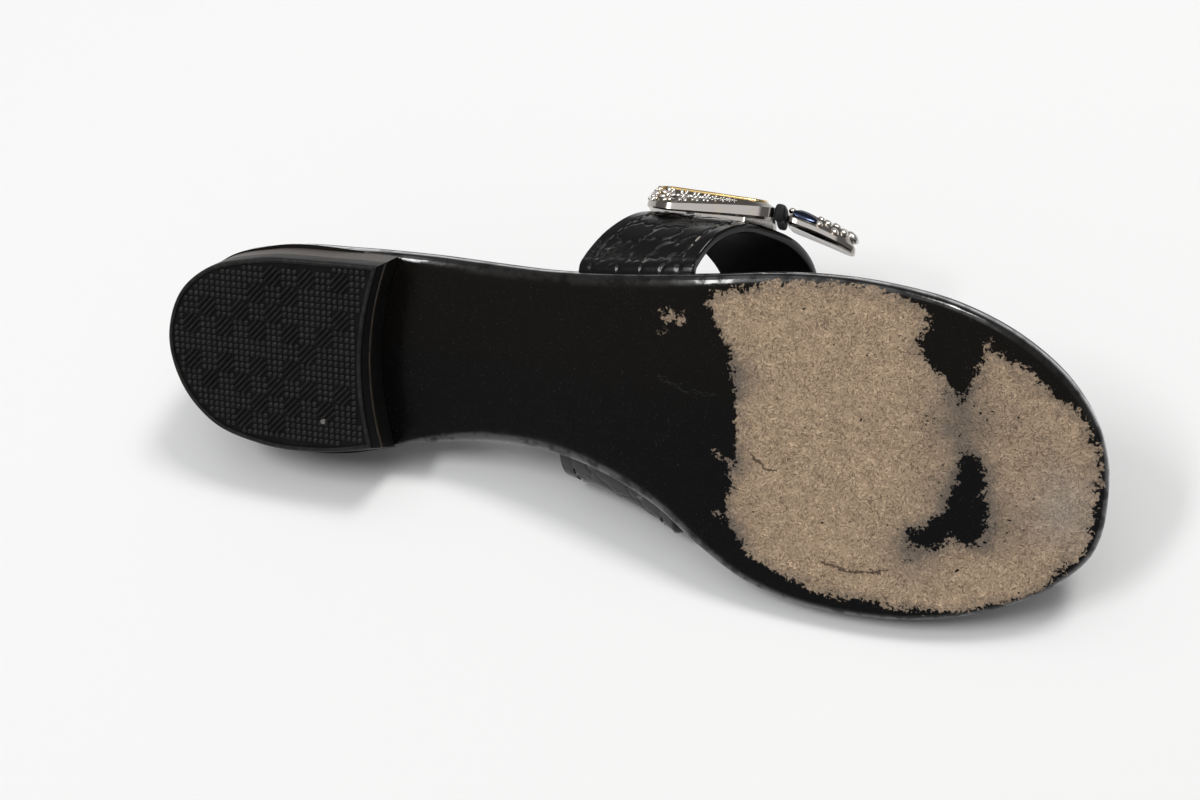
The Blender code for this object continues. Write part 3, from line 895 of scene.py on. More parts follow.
def sole_finish(settings):
    """Black finished leather with a glossy rounded edge, whose grey-blue sheen is also painted into its
    colour, and a painted light tint across the waist, worn through to fibrous bare leather at the forefoot.
    """
    finish = Finish("sole_leather")
    place = finish.place
    fine = place.noise(1.3, 4.0, 0.65)
    mid = place.noise(0.55, 3.0, 0.6)
    coarse = place.noise(0.24, 3.0, 0.6)
    worn = finish.attribute("worn") + fine.swing(6.0) + mid.swing(4.6) + coarse.swing(5.0)
    bare = worn.between(-0.1, 0.3)
    thin = 1 - worn.between(0.3, 4.0)
    # The dark curled lines (shade), sunk in the bump below, are painted shade in the gaps between the bare
    # fibres; the light ones are paler fibres
    light = worms(place, 0.42, 1.8, 0.05).most(worms(place.stretched(1.0, 1.3, 1.0), 0.55, 1.4, 0.05))
    shade = worms(place.stretched(1.2, 1.0, 1.0), 0.45, 2.0, 0.045)
    tone = 0.42 + light * 0.36 - shade * 0.40 + fine.swing(0.7) + coarse.swing(0.5)
    tan = tone.most(0.0).least(1.0).pick(settings.bare_dark, settings.bare_light)
    smudge = (finish.attribute("smudge") * (0.35 + coarse * 1.1) + thin * 0.5).least(0.92)
    dirty = (smudge * (0.45 + fine * 0.8)).least(0.9).pick(tan, settings.smudge)
    dirty = (finish.attribute("pale") * 0.6).pick(dirty, RUBBED_TOE)
    pits = place.noise(0.9, 1.0, 0.4).between(0.70, 0.74) * finish.attribute("smudge").between(0.05, 0.5)
    pits = pits.most(place.noise(0.5, 1.0, 0.4).between(0.775, 0.79))
    dirty = pits.pick(dirty, PIT)
    crack = cracks(place)
    dirty = (crack * 0.75).pick(dirty, CRACK)
    dust = place.noise(2.6, 1.0, 0.3).between(0.715, 0.745) * (0.4 + coarse * 0.6)
    scuff = place.stretched(0.12, 1.0, 1.0).noise(0.9, 4.0, 0.7).between(0.60, 0.80) * 0.25
    y = place.axes()[1]
    # Painted light tint across the waist: warmer brown towards the outer side, which lies uppermost, bluish
    # towards the inner side
    warm = (y + coarse.swing(20.0)).between(-24.0, 16.0).pick(LIT_SIDE_WARM_BLACK, settings.black)
    edge = finish.attribute("side")
    # The rounded edge is painted lighter and bluer: a painted sheen of the floor and lights on it
    edge_sheen = edge.pick(warm, EDGE_SHEEN_BLACK)
    black = (dust * 0.22).pick(edge_sheen, DUST)
    black = (scuff * 0.35).pick(black, SCUFF)
    colour = bare.pick(black, dirty)
    gloss = 0.22 + coarse.swing(0.22) + scuff * 0.5 - edge * 0.07
    rough = gloss * (1 - bare) + bare * 0.88
    nap = light * 0.5 - shade * 0.6 + fine * 0.9 - pits * 0.5 - crack * 0.9
    ripple = place.noise(0.16, 2.0, 0.5) * 0.30 + fine * 0.05 - crack * 0.4
    height = nap * bare + ripple * (1 - bare) - bare * 0.25
    normal = finish.bump(height, 0.5, strength=0.8)
    polish = edge.between(0.02, 0.15) * coarse.between(0.36, 0.56) * (1 - bare)
    return finish.set(Base_Color=colour, Roughness=rough, Normal=normal, Specular_IOR_Level=0.24,
                      Coat_Weight=polish, Coat_Roughness=0.06)


def stack_finish(settings):
    """Brown-grey layered heel side, black at the breast, with a pale line where it meets the rubber."""
    finish = Finish("heel_stack")
    place = finish.place
    x, y, z = place.axes()
    front = (x - BREAST_X - y * y * (BREAST_SAG / BREAST_HALF ** 2) + 0.8).between(0.0, 0.6)
    layers = place.stretched(0.05, 0.05, 2.2).noise(1.0, 3.0, 0.6)
    blotch = place.noise(0.35, 4.0, 0.65)
    side = (layers * 0.6 + blotch * 0.5).between(0.3, 0.8).pick(STACK_DARK, settings.stack)
    seam = 1 - (z - TOP_PIECE - 0.75 + blotch.swing(0.5)).size().between(0.25, 0.5)
    side = (blotch.between(0.66, 0.74) * 0.5).pick(side, STACK_RUST)
    black = place.noise(2.5, 2.0).between(0.70, 0.78).pick(BREAST, BREAST_DUST)
    colour = front.pick(side, black)
    colour = (seam * (0.25 + blotch * 0.6) * (0.4 + front * 0.6)).pick(colour, GLUE)
    rough = 0.46 + blotch.swing(0.3) - front * 0.14
    normal = finish.bump(layers * 0.6 + place.noise(1.6, 3.0) * 0.3, 0.25, strength=0.6)
    return finish.set(Base_Color=colour, Roughness=rough, Normal=normal)


def rubber_finish(settings):
    """Dark matt rubber with pale dust in its hollows and along its worn edge, and raised tops painted
    lighter, partly as worn rubber and partly as painted highlight.
    """
    finish = Finish("heel_rubber")
    place = finish.place
    z = place.axes()[2]
    cloud = place.noise(0.12, 3.0, 0.6)
    specks = place.noise(1.7, 2.0, 0.5).between(0.70, 0.76) * cloud.between(0.42, 0.72)
    wall = z.between(0.9, 1.6)
    # Raised tops painted lighter, partly worn rubber and partly painted highlight; the sunk tread between
    # them stays darker
    worn_and_lit_tops = 1 - z.between(0.12, 0.50)
    base = cloud.between(0.3, 0.7).pick(settings.rubber, RUBBER_CLOUD)
    base = (worn_and_lit_tops * (0.35 + place.noise(0.5, 3.0).between(0.40, 0.75) * 0.6)).pick(base, RUBBER_TOPS_WORN_AND_LIT)
    base = (wall * 0.45).pick(base, RUBBER_WALL)
    colour = (specks * 0.6).pick(base, RUBBER_DUST)
    rough = 0.46 + cloud.swing(0.25) - wall * 0.04
    streaks = place.stretched(0.25, 0.25, 2.5).noise(1.4, 3.0)
    normal = finish.bump(place.noise(2.4, 3.0) * 0.5 + streaks * wall * 0.6, 0.16, strength=0.7)
    return finish.set(Base_Color=colour, Roughness=rough, Normal=normal, Specular_IOR_Level=0.18)


def insole_finish():
    """Smooth black lining leather with a fine grain, polished where the foot rubs it."""
    finish = Finish("insole_leather")
    place = finish.place
    cells = {"feature": "DISTANCE_TO_EDGE"}
    grain = place.node("ShaderNodeTexVoronoi", cells, {"Vector": place, "Scale": 1.1})
    cloud = place.noise(0.045, 3.0, 0.6)
    fine = place.noise(1.8, 3.0)
    colour = cloud.between(0.3, 0.75).pick(LINING, LINING_RUBBED)
    colour = (fine.between(0.70, 0.78) * 0.3).pick(colour, LINT)
    rough = 0.50 - cloud.between(0.45, 0.7) * 0.16 + fine.swing(0.1)
    normal = finish.bump(grain.between(0.0, 0.16) * 0.7 + fine * 0.25, 0.14, strength=0.55)
    return finish.set(Base_Color=colour, Roughness=rough, Normal=normal)


def strap_finish(settings, dull=0.0):
    """Glossy black leather with rubbed lines between its embossed scales, and a plain lining inside."""
    finish = Finish("strap_leather")
    place = finish.place
    groove = finish.attribute("groove")
    outside = finish.attribute("outside")
    rim = finish.attribute("rim")
    fine = place.noise(1.9, 4.0, 0.6)
    cloud = place.noise(0.09, 3.0, 0.6)
    line = (1 - groove.between(0.05, 0.40)) * outside * place.noise(0.2, 2.0).between(0.44, 0.58)
    vein = place.noise(0.55, 2.0, 0.5, 1.2)
    vein_line = (1 - (vein - 0.5).size().between(0.0, 0.02)) * outside * cloud.between(0.5, 0.65)
    colour = cloud.between(0.3, 0.75).pick(settings.leather, LEATHER_CLOUD)
    colour = (line * (0.45 + fine * 0.6)).least(1.0).pick(colour, settings.rubbed)
    colour = (vein_line * 0.25).pick(colour, settings.rubbed)
    rough = 0.20 + fine.swing(0.14) + (1 - outside) * 0.22 + line * 0.25 - rim * 0.05 + dull
    pores = place.noise(2.6, 2.0, 0.5)
    height = fine * 0.25 * outside + pores * 0.12 - vein_line * 0.35
    normal = finish.bump(height, 0.14, strength=0.5)
    gloss = outside * 0.30 * (0.6 + cloud * 0.6)
    return finish.set(Base_Color=colour, Roughness=rough, Normal=normal, Specular_IOR_Level=0.26,
                      Coat_Weight=gloss, Coat_Roughness=0.12)


def thread_finish():
    """Black waxed thread, a few stitches rubbed pale, with a painted sheen along its twist."""
    finish = Finish("thread")
    place = finish.place
    pale = place.noise(0.16, 1.0).between(0.60, 0.66)
    twist = place.noise(3.2, 2.0)
    colour = pale.pick(THREAD, THREAD_PALE)
    # Painted sheen along the raised twist of the thread
    colour = (twist.between(0.5, 0.8) * 0.4).pick(colour, THREAD_SHEEN)
    normal = finish.bump(twist, 0.12, strength=0.6)
    return finish.set(Base_Color=colour, Roughness=0.55 + twist.swing(0.2), Normal=normal)


def metal_finish(name, tint, warm, shade, tarnish, polish):
    """Metal of a roughness called polish, with tarnish in its hollows and fine wear on its high spots."""
    finish = Finish(name)
    place = finish.place
    cloud = place.noise(0.25, 3.0, 0.6)
    fine = place.noise(3.5, 3.0, 0.6)
    hollow = (1 - finish.attribute("high")) * tarnish
    colour = (hollow * (0.55 + cloud * 0.7)).least(1.0).pick(tint, shade)
    colour = (cloud.between(0.5, 0.72) * 0.4).pick(colour, warm)
    rough = polish + fine.swing(0.06) + hollow * 0.18
    normal = finish.bump(fine * 0.5 + place.noise(0.9, 2.0) * 0.5, 0.05, strength=0.4)
    return finish.set(Base_Color=colour, Metallic=1.0, Roughness=rough, Normal=normal)


def floor_finish(settings):
    """Plain pale floor."""
    finish = Finish("floor")
    return finish.set(Base_Color=tuple(settings.floor), Roughness=0.7)


# Sole and heel

def make_sole(settings):
    """Outsole with a rounded bottom edge that is widest at the waist, cut fine enough for its wear."""
    table = np.array(EDGE_ROUND)
    width = smooth(table[:, 0], table[:, 1], EDGE[:, 0])
    rings = [sole_ring(width * left, ROUND_HEIGHT * done) for left, done in quarter(ROUND_RINGS)]
    rings += [sole_ring(TOP_ROUND * done, OUTSOLE - TOP_ROUND * left) for left, done in quarter(BREAK_RINGS)]
    bm = ring_shell(rings)
    cut_strips(bm, np.arange(0.0, TOE, SOLE_GRID), 0)
    cut_strips(bm, np.arange(*SOLE_SIDES, SOLE_GRID), 1)
    flat = np.array([vert.co for vert in bm.verts])
    depth = np.minimum(depth_inside(flat[:, :2], WORN), -depth_inside(flat[:, :2], LEFT_BLACK))
    for x, y, radius in CHIPS:
        depth = np.maximum(depth, radius - np.hypot(flat[:, 0] - x, flat[:, 1] - y))
    depth -= WEAR_FADE * np.clip(flat[:, 2] - WEAR_TOP, 0.0, None)
    smudge = np.zeros(len(flat))
    for x, y, radius, strength in SMUDGES:
        away = ((flat[:, 0] - x) ** 2 + (flat[:, 1] - y) ** 2) / radius ** 2
        smudge = np.maximum(smudge, strength * np.exp(-away))
    pale_x, pale_y, pale_long, pale_wide = PALE
    pale = np.exp(-((flat[:, 0] - pale_x) / pale_long) ** 2 - ((flat[:, 1] - pale_y) / pale_wide) ** 2)
    mark(bm, "worn", depth)
    mark(bm, "smudge", smudge)
    mark(bm, "pale", pale)
    mark(bm, "side", np.clip(flat[:, 2] / ROUND_HEIGHT, 0.0, 1.0))
    lift(bm)
    add_piece("outsole_leather", bm, sole_finish(settings), "sole_leather", "outsole")


def breast(y):
    """Front edge of the heel, hollow towards the toe."""
    return BREAST_X + BREAST_SAG * (y / BREAST_HALF) ** 2


def heel_ring(height, inset):
    """Outline of the heel at a height over the ground."""
    lower = 1.0 - height / HEEL_RISE
    edge = EDGE + INWARD * (SEAT_INSET + HEEL_TAPER * lower + inset)
    edge = np.roll(edge + (0.0, HEEL_SHIFT * lower), -TOE_POINT, axis=0)
    ahead = edge[:, 0] - breast(edge[:, 1]) + inset
    kept = np.flatnonzero(ahead < 0.0)
    ends = []
    for i in (kept[0] - 1, kept[-1]):
        share = ahead[i] / (ahead[i] - ahead[i + 1])
        ends.append(edge[i] + share * (edge[i + 1] - edge[i]))
    back = evenly(np.vstack([ends[0], edge[kept], ends[1]]), HEEL_POINTS)
    y = np.linspace(ends[1][1], ends[0][1], BREAST_POINTS + 2)[1:-1]
    front = np.column_stack([breast(y) - inset, y])
    outline = np.vstack([back, front])
    return np.column_stack([outline, np.full(len(outline), height)])


def ridge():
    """A bar of length, width and height 1, narrowed towards the ground."""
    bm = bmesh.new()
    low = [vert for vert in bmesh.ops.create_cube(bm, size=1.0)["verts"] if vert.co.z < 0.0]
    bmesh.ops.scale(bm, vec=RIDGE_PINCH, verts=low)
    return bm


def ridge_places(middle, pitch):
    """Places of one patch of slanted ridges on the heel's tread."""
    patch = STUD_PATCH * pitch
    slant = Matrix.Translation(middle) @ Matrix.Rotation(math.radians(RIDGE_SLANT), 4, "Z")
    for k in range(RIDGE_COUNT):
        off = (k - (RIDGE_COUNT - 1) / 2) * patch / RIDGE_COUNT
        long = patch * RIDGE_LONG - abs(off) * RIDGE_CUT
        shape = Matrix.Diagonal((long, pitch * RIDGE_WIDE, TREAD_SINK, 1.0))
        yield slant @ Matrix.Translation((0.0, off, 0.0)) @ shape


def add_studs(bm, pitch):
    """Round studs on the heel's tread, with patches of ridges among them."""
    edge = heel_ring(0.0, TREAD_CHAMFER)[:, :2]
    patch = STUD_PATCH * pitch
    dice = random.Random(STUD_SEED)
    shape = Matrix.Diagonal((pitch * STUD_ROUND, pitch * STUD_ROUND, TREAD_SINK - STUD_LOWER, 1.0))
    studs = []
    ridges = []
    for i in range(-1, int(TREAD_LONG / patch) + 1):
        for j in range(-int(TREAD_WIDE / patch) - 1, int(TREAD_WIDE / patch) + 1):
            middle = Vector(((i + 0.5) * patch, (j + 0.5) * patch, TREAD_SINK / 2))
            depth = depth_inside(np.array([middle[:2]]), edge)[0]
            if (i + j) % 2 and depth > STUD_MARGIN + patch / 2 and dice.random() < RIDGE_SHARE:
                ridges += ridge_places(middle, pitch)
                continue
            for k in range(STUD_PATCH ** 2):
                x = i * patch + (k // STUD_PATCH + 0.5) * pitch
                y = j * patch + (k % STUD_PATCH + 0.5) * pitch
                if depth_inside(np.array([[x, y]]), edge)[0] > STUD_MARGIN:
                    studs.append(Matrix.Translation((x, y, TREAD_SINK)) @ shape)
    stamp(bm, ball(8, 6), studs)
    stamp(bm, ridge(), ridges)


def make_heel(settings):
    """Rubber tread with its studs, the stacked layer over it and one nail head."""
    rings = [heel_ring(height, TREAD_CHAMFER + inset) for height, inset in TREAD_LIP]
    rings += [heel_ring(TREAD_CHAMFER * done, TREAD_CHAMFER * left) for left, done in quarter(BREAK_RINGS)]
    rings += [heel_ring(TOP_PIECE - TREAD_BREAK, 0.0), heel_ring(TOP_PIECE, TREAD_BREAK)]
    bm = ring_shell(rings)
    add_studs(bm, settings.stud_pitch)
    add_piece("heel_tread", bm, rubber_finish(settings), "heel_rubber", "top_piece")
    low = TOP_PIECE + GAP
    high = HEEL_RISE - GAP
    rings = [heel_ring(low, EDGE_BREAK), heel_ring(low + EDGE_BREAK, 0.0)]
    rings += [heel_ring(high - EDGE_BREAK, 0.0), heel_ring(high, EDGE_BREAK)]
    add_piece("heel_stack", ring_shell(rings), stack_finish(settings), "heel_stack", "heel_block")
    nail = bmesh.new()
    flip = Matrix.Rotation(math.pi, 4, "X")
    place = Matrix.Translation((*NAIL, TREAD_SINK / 2 + NAIL_SINK)) @ flip
    bmesh.ops.create_cone(nail, cap_ends=True, segments=24, radius1=NAIL_RADIUS,
                          radius2=NAIL_RADIUS * NAIL_TAPER, depth=TREAD_SINK, matrix=place)
    mark(nail, "high", NAIL_HIGH)
    steel = metal_finish("nail_steel", *STEEL, tarnish=0.8, polish=0.42)
    add_piece("heel_nail", nail, steel, "silver_metal")


def pocket(inner):
    """Room for a strap end between outsole and insole, open at the sole's edge."""
    side = 1.0 if inner else -1.0
    half = STRAP[-1 if inner else 0][4] / 2 + POCKET_SIDE
    x = np.linspace(STRAP_X[inner] - half, STRAP_X[inner] + half, POCKET_STEPS)
    edge = edge_y(x, inner)
    deep = np.column_stack([x, edge - side * POCKET_DEPTH])
    mouth = np.column_stack([x, edge + side * POCKET_REACH])
    outline = np.vstack([deep, mouth[::-1]])
    heights = (OUTSOLE - POCKET_BELOW, POCKET_TOP)
    bm = ring_shell([np.column_stack([outline, np.full(len(outline), z)]) for z in heights])
    lift(bm)
    return to_object("pocket", bm)


def make_insole():
    """Footbed on the outsole, rounded at its top edge, with the pockets cut out of it."""
    bottom = OUTSOLE + GAP
    top = bottom + INSOLE
    rings = [sole_ring(INSOLE_INSET + EDGE_BREAK, bottom), sole_ring(INSOLE_INSET, bottom + EDGE_BREAK)]
    for left, done in quarter(INSOLE_RINGS):
        rings.append(sole_ring(INSOLE_INSET + INSOLE_ROUND * done, top - INSOLE_ROUND * left))
    bm = ring_shell(rings)
    cut_strips(bm, np.arange(SEAT_END, TOE, INSOLE_GRID), 0)
    lift(bm)
    insole = add_piece("insole_leather", bm, insole_finish(), "insole_leather", "insole")
    cutters = [pocket(0), pocket(1)]
    for cutter in cutters:
        boolean = insole.modifiers.new(cutter.name, "BOOLEAN")
        boolean.operation = "DIFFERENCE"
        boolean.solver = "EXACT"
        boolean.object = cutter
    graph = bpy.context.evaluated_depsgraph_get()
    cut = bpy.data.meshes.new_from_object(insole.evaluated_get(graph))
    insole.modifiers.clear()
    insole.data = cut
    for cutter in cutters:
        bpy.data.objects.remove(cutter)


# Strap

def strap_point(section, lane):
    """Middle of the strap's wall at a section row and a lane from -1 at the rear edge to 1 at the front."""
    across, out, up, forward, width, twist, curl = section
    follow = np.clip(1.0 - (up - POCKET_TOP) / STRAP_FREE, 0.0, 1.0)
    outer_x = STRAP_X[0] + lane * STRAP[0][4] / 2
    inner_x = STRAP_X[1] + lane * STRAP[-1][4] / 2 * follow
    x = (1 - across) * STRAP_X[0] + across * STRAP_X[1] + forward + lane * width / 2
    y = (1 - across) * edge_y(outer_x, 0) + across * edge_y(inner_x, 1) + out
    y += lane * twist + lane ** 2 * curl
    point = Vector((x, y, up + rise(x)))
    past = STRAP_THICK / 2 - FLOOR_PRESS - (point.dot(FLOOR_UP) + SHOE.translation.z / MM)
    return point + FLOOR_UP * ((past + math.hypot(past, FLOOR_SOFT)) / 2)


def strap_far():
    """Distance along the strap's middle at each row of its table."""
    table = np.array(STRAP)
    x = (1 - table[:, 0]) * STRAP_X[0] + table[:, 0] * STRAP_X[1] + table[:, 3]
    y = (1 - table[:, 0]) * edge_y(STRAP_X[0], 0) + table[:, 0] * edge_y(STRAP_X[1], 1) + table[:, 1]
    return along(np.column_stack([x, y, table[:, 2] + rise(x)]))


STRAP_FAR = strap_far()


def strap_section(share):
    """The strap's table read at a share of its length."""
    return smooth(STRAP_FAR, np.array(STRAP), np.array([share * STRAP_FAR[-1]]))[0]


def scale_edges(places):
    """Distance of each place on the flat strap from the edges between its embossed scales."""
    dice = random.Random(SCALE_SEED)
    seeds = []
    for i in range(-1, int(STRAP_FAR[-1] / SCALE_LONG) + 2):
        for j in range(-SCALE_ROWS, SCALE_ROWS + 1):
            jitter_long = dice.uniform(-JITTER_LONG, JITTER_LONG)
            jitter_wide = dice.uniform(-JITTER_WIDE, JITTER_WIDE)
            seeds.append(((i + jitter_long + 0.5 * (j % 2)) * SCALE_LONG, (j + jitter_wide) * SCALE_WIDE))
    wobble = [np.sin(places @ (long, wide) + start) for long, wide, start in SCALE_WAVES]
    places = places + SCALE_WOBBLE * np.column_stack(wobble)
    gaps = np.linalg.norm(places[:, None, :] - np.array(seeds), axis=2)
    nearest = np.partition(gaps, 1, axis=1)
    return nearest[:, 1] - nearest[:, 0]


def creased(places):
    """Height of the strap's creases at places on the flat strap, in soft troughs with a bank beside them."""
    height = np.zeros(len(places))
    for at, middle, slant, half, width, depth in STRAP_CREASES:
        off = places[:, 0] - at - slant * (places[:, 1] - middle)
        fade = np.exp(-((places[:, 1] - middle) / half) ** 2)
        trough = np.exp(-(off / width) ** 2)
        bank = np.exp(-((off - CREASE_BESIDE * width) / width) ** 2)
        height += depth * fade * (CREASE_BANK * bank - trough)
    return height


def make_strap(settings):
    """Slack band from sole edge to sole edge, embossed, with a rounded rim and two rows of stitches."""
    bm = bmesh.new()
    bmesh.ops.create_grid(bm, x_segments=STRAP_STEPS, y_segments=STRAP_LANES, size=1.0)
    sections = {}
    places = []
    widths = []
    for vert in bm.verts:
        share = (vert.co.x + 1.0) / 2
        lane = vert.co.y
        key = round(share, 5)
        if key not in sections:
            sections[key] = strap_section(share)
        section = sections[key]
        places.append((share * STRAP_FAR[-1], lane * section[4] / 2))
        widths.append(section[4] / 2)
        vert.co = strap_point(section, lane)
    places = np.array(places)
    rim = np.array(widths) - np.abs(places[:, 1])
    bm.normal_update()
    middle = sum((vert.co for vert in bm.verts), Vector()) / len(bm.verts)
    shoulder = max(bm.verts, key=lambda vert: vert.co.z)
    if (shoulder.co - middle).dot(shoulder.normal) < 0.0:
        bmesh.ops.reverse_faces(bm, faces=bm.faces)
        bm.normal_update()
    groove = scale_edges(places)
    inside_seam = np.clip((rim - settings.seam_inset) / SEAM_FADE, 0.0, 1.0)
    seam = np.exp(-((rim - settings.seam_inset) / SEAM_WIDE) ** 2)
    blend = np.clip(groove / GROOVE_WIDE, 0.0, 1.0)
    sunk = settings.relief * (1 - blend * blend * (3 - 2 * blend)) * inside_seam
    tucked = np.minimum(places[:, 0], STRAP_FAR[-1] - places[:, 0]) < TUCKED - TUCK_PLAIN
    relief = np.where(tucked, 0.0, creased(places) - sunk - SEAM_SINK * seam)
    mark(bm, "groove", np.where(inside_seam > SEAM_CLEAR, groove, NO_GROOVE))
    mark(bm, "rim", np.clip(1.0 - rim / RIM_WIDE, 0.0, 1.0))
    mark(bm, "outside", 0.0)
    outer = bm.verts[:]
    normals = [vert.normal.copy() for vert in outer]
    for vert, normal in zip(outer, normals):
        vert.co += normal * (STRAP_THICK / 2)
    bmesh.ops.solidify(bm, geom=bm.faces[:], thickness=STRAP_THICK)
    layer = bm.verts.layers.float["outside"]
    for vert, normal, height in zip(outer, normals, relief):
        vert[layer] = 1.0
        vert.co += normal * height
    bm.normal_update()
    corners = [e for e in bm.edges if e.is_manifold and e.calc_face_angle() > math.radians(CORNER_DEGREES)]
    bmesh.ops.bevel(bm, geom=corners, offset=STRAP_RIM, segments=3, profile=0.5, affect="EDGES", material=-1)
    add_piece("strap_leather", bm, strap_finish(settings), "strap_leather", "strap")
    thread = bmesh.new()
    stitches = []
    for at in np.arange(TUCKED, STRAP_FAR[-1] - TUCKED, settings.stitch_pitch):
        for side in (-1.0, 1.0):
            stitches.append(stitch_place(at / STRAP_FAR[-1], side, settings))
    stamp(thread, ball(8, 5), stitches)
    add_piece("strap_stitches", thread, thread_finish(), "strap_leather")


def stitch_place(share, side, settings):
    """Place of one stitch of the strap's seam, sunk a little into the leather."""
    section = strap_section(share)
    step = settings.stitch_pitch / STRAP_FAR[-1] / 2
    lane = side * (1 - settings.seam_inset / (section[4] / 2))
    here = strap_point(section, lane)
    ahead = strap_point(strap_section(share + step), lane) - strap_point(strap_section(share - step), lane)
    aside = strap_point(section, lane + LANE_STEP) - strap_point(section, lane - LANE_STEP)
    out = ahead.cross(aside).normalized()
    if out.dot(here - FOOT_MIDDLE) < 0.0:
        out = -out
    shape = Matrix.Diagonal((settings.stitch_pitch * STITCH_LONG, *STITCH_ROUND, 1.0))
    return stand(here + out * (STRAP_THICK / 2 - STITCH_SINK), ahead.normalized(), out) @ shape


# Buckle

def buckle_place():
    """Matrix from the buckle's u, v, n to the shoe."""
    slope = Matrix.Rotation(math.radians(BUCKLE_SLOPE), 4, "X")
    yaw = Matrix.Rotation(math.radians(BUCKLE_YAW), 4, "Z")
    return Matrix.Translation(BUCKLE_AT) @ slope @ yaw


def seat_buckle(bm):
    """Curves a flat buckle piece round the strap's shoulder and puts it in place."""
    for vert in bm.verts:
        vert.co.z -= vert.co.y ** 2 / (2 * BUCKLE_BEND[vert.co.y > 0.0])
        vert.co.z -= vert.co.x ** 2 / (2 * BUCKLE_DROOP[vert.co.x > 0.0])
    bm.transform(buckle_place())


def round_turns():
    """Points round a square with rounded corners, from -1 to 1 both ways."""
    turns = np.linspace(0.0, 2 * math.pi, BUCKLE_POINTS, endpoint=False)
    cosine = np.cos(turns)
    sine = np.sin(turns)
    size = (np.abs(cosine) ** BUCKLE_SQUARE + np.abs(sine) ** BUCKLE_SQUARE) ** (-1 / BUCKLE_SQUARE)
    return cosine * size, sine * size


def frame_outline(rows, inset):
    """A buckle frame's outline pulled in by inset, with its wall and full heights there."""
    table = np.array(rows)
    cosine, sine = round_turns()
    start, end = table[0, 0], table[-1, 0]
    u = (start + end) / 2 + ((end - start) / 2 - inset) * cosine
    half, wall, full = smooth(table[:, 0], table[:, 1:], u).T
    return u, (half - inset) * sine, wall, full


def window_outline(window):
    """Outline of a buckle frame's window."""
    start, end, half = window
    cosine, sine = round_turns()
    return (start + end) / 2 + (end - start) / 2 * cosine, half * sine


def bevel_height(wall, full, share):
    """Height of a frame's bevel at a share of its width, swelling a little."""
    return wall + (full - wall) * (share + FRAME_SWELL * (math.sin(math.pi / 2 * share) - share))


def leaves(u, v, share, depth):
    """Engraved leaf pattern round a frame's bevel, deepest in the middle of the bevel and fading forward."""
    path = along(np.column_stack([u, v]))
    vein = np.abs(((path / VEIN_PITCH + share * VEIN_LEAN) % 1.0) - 0.5) * 2
    lobe = np.abs(((path / LOBE_PITCH - share * LOBE_LEAN) % 1.0) - 0.5) * 2
    fade = np.clip((ENGRAVED_TO - u) / ENGRAVED_FADE, 0.0, 1.0)
    return depth * math.sin(math.pi * share) * (VEIN_SHARE * vein + (1 - VEIN_SHARE) * lobe - 0.5) * fade


def shell_rings(rows, foot, depth):
    """Rings of a frame from its foot over its wall and bevel to its face, with how high each lies."""
    rings = []
    high = []
    for inset, share in foot:
        u, v, wall, full = frame_outline(rows, inset)
        rings.append(np.column_stack([u, v, wall * share]))
        high.append(WALL_HIGH)
    for share in np.linspace(0.0, 1.0, BEVEL_RINGS + 1)[1:]:
        u, v, wall, full = frame_outline(rows, FRAME_BEVEL * share)
        rings.append(np.column_stack([u, v, bevel_height(wall, full, share) + leaves(u, v, share, depth)]))
        high.append(WALL_HIGH - BEVEL_LOW * math.sin(math.pi * share))
    return rings, high


def add_metal(name, bm, finish, high, *nodes, sharp=SHARP_DEGREES):
    """A piece of the buckle's metal, which knows how high its places lie, seated on the strap."""
    mark(bm, "high", high)
    seat_buckle(bm)
    add_piece(name, bm, finish, "silver_metal", *nodes, sharp=sharp)


def make_frame(settings):
    """Rear frame with a plain wall, an engraved bevel, a polished face and one window."""
    rings, high = shell_rings(REAR_FRAME, FRAME_FOOT, settings.engraving)
    u, v = window_outline(REAR_WINDOW)
    middle = u.mean()
    level = frame_outline(REAR_FRAME, FRAME_BEVEL)[3] * FACE_DISH
    floor = np.full(len(u), WINDOW_FOOT)
    for spread, height in ((WINDOW_RIM, level), (1.0, level - WINDOW_DROP), (1.0, floor)):
        rings.append(np.column_stack([middle + (u - middle) * spread, v * spread, height]))
        high.append(METAL_HIGH)
    bm = ring_shell(rings, joined=True)
    silver = metal_finish("silver", settings.silver, settings.warm, SILVER_SHADE, tarnish=0.9, polish=0.13)
    high = np.repeat(high, BUCKLE_POINTS)
    add_metal("buckle_rear_silver", bm, silver, high, "buckle_rear", sharp=CAST_SHARP)
    return silver


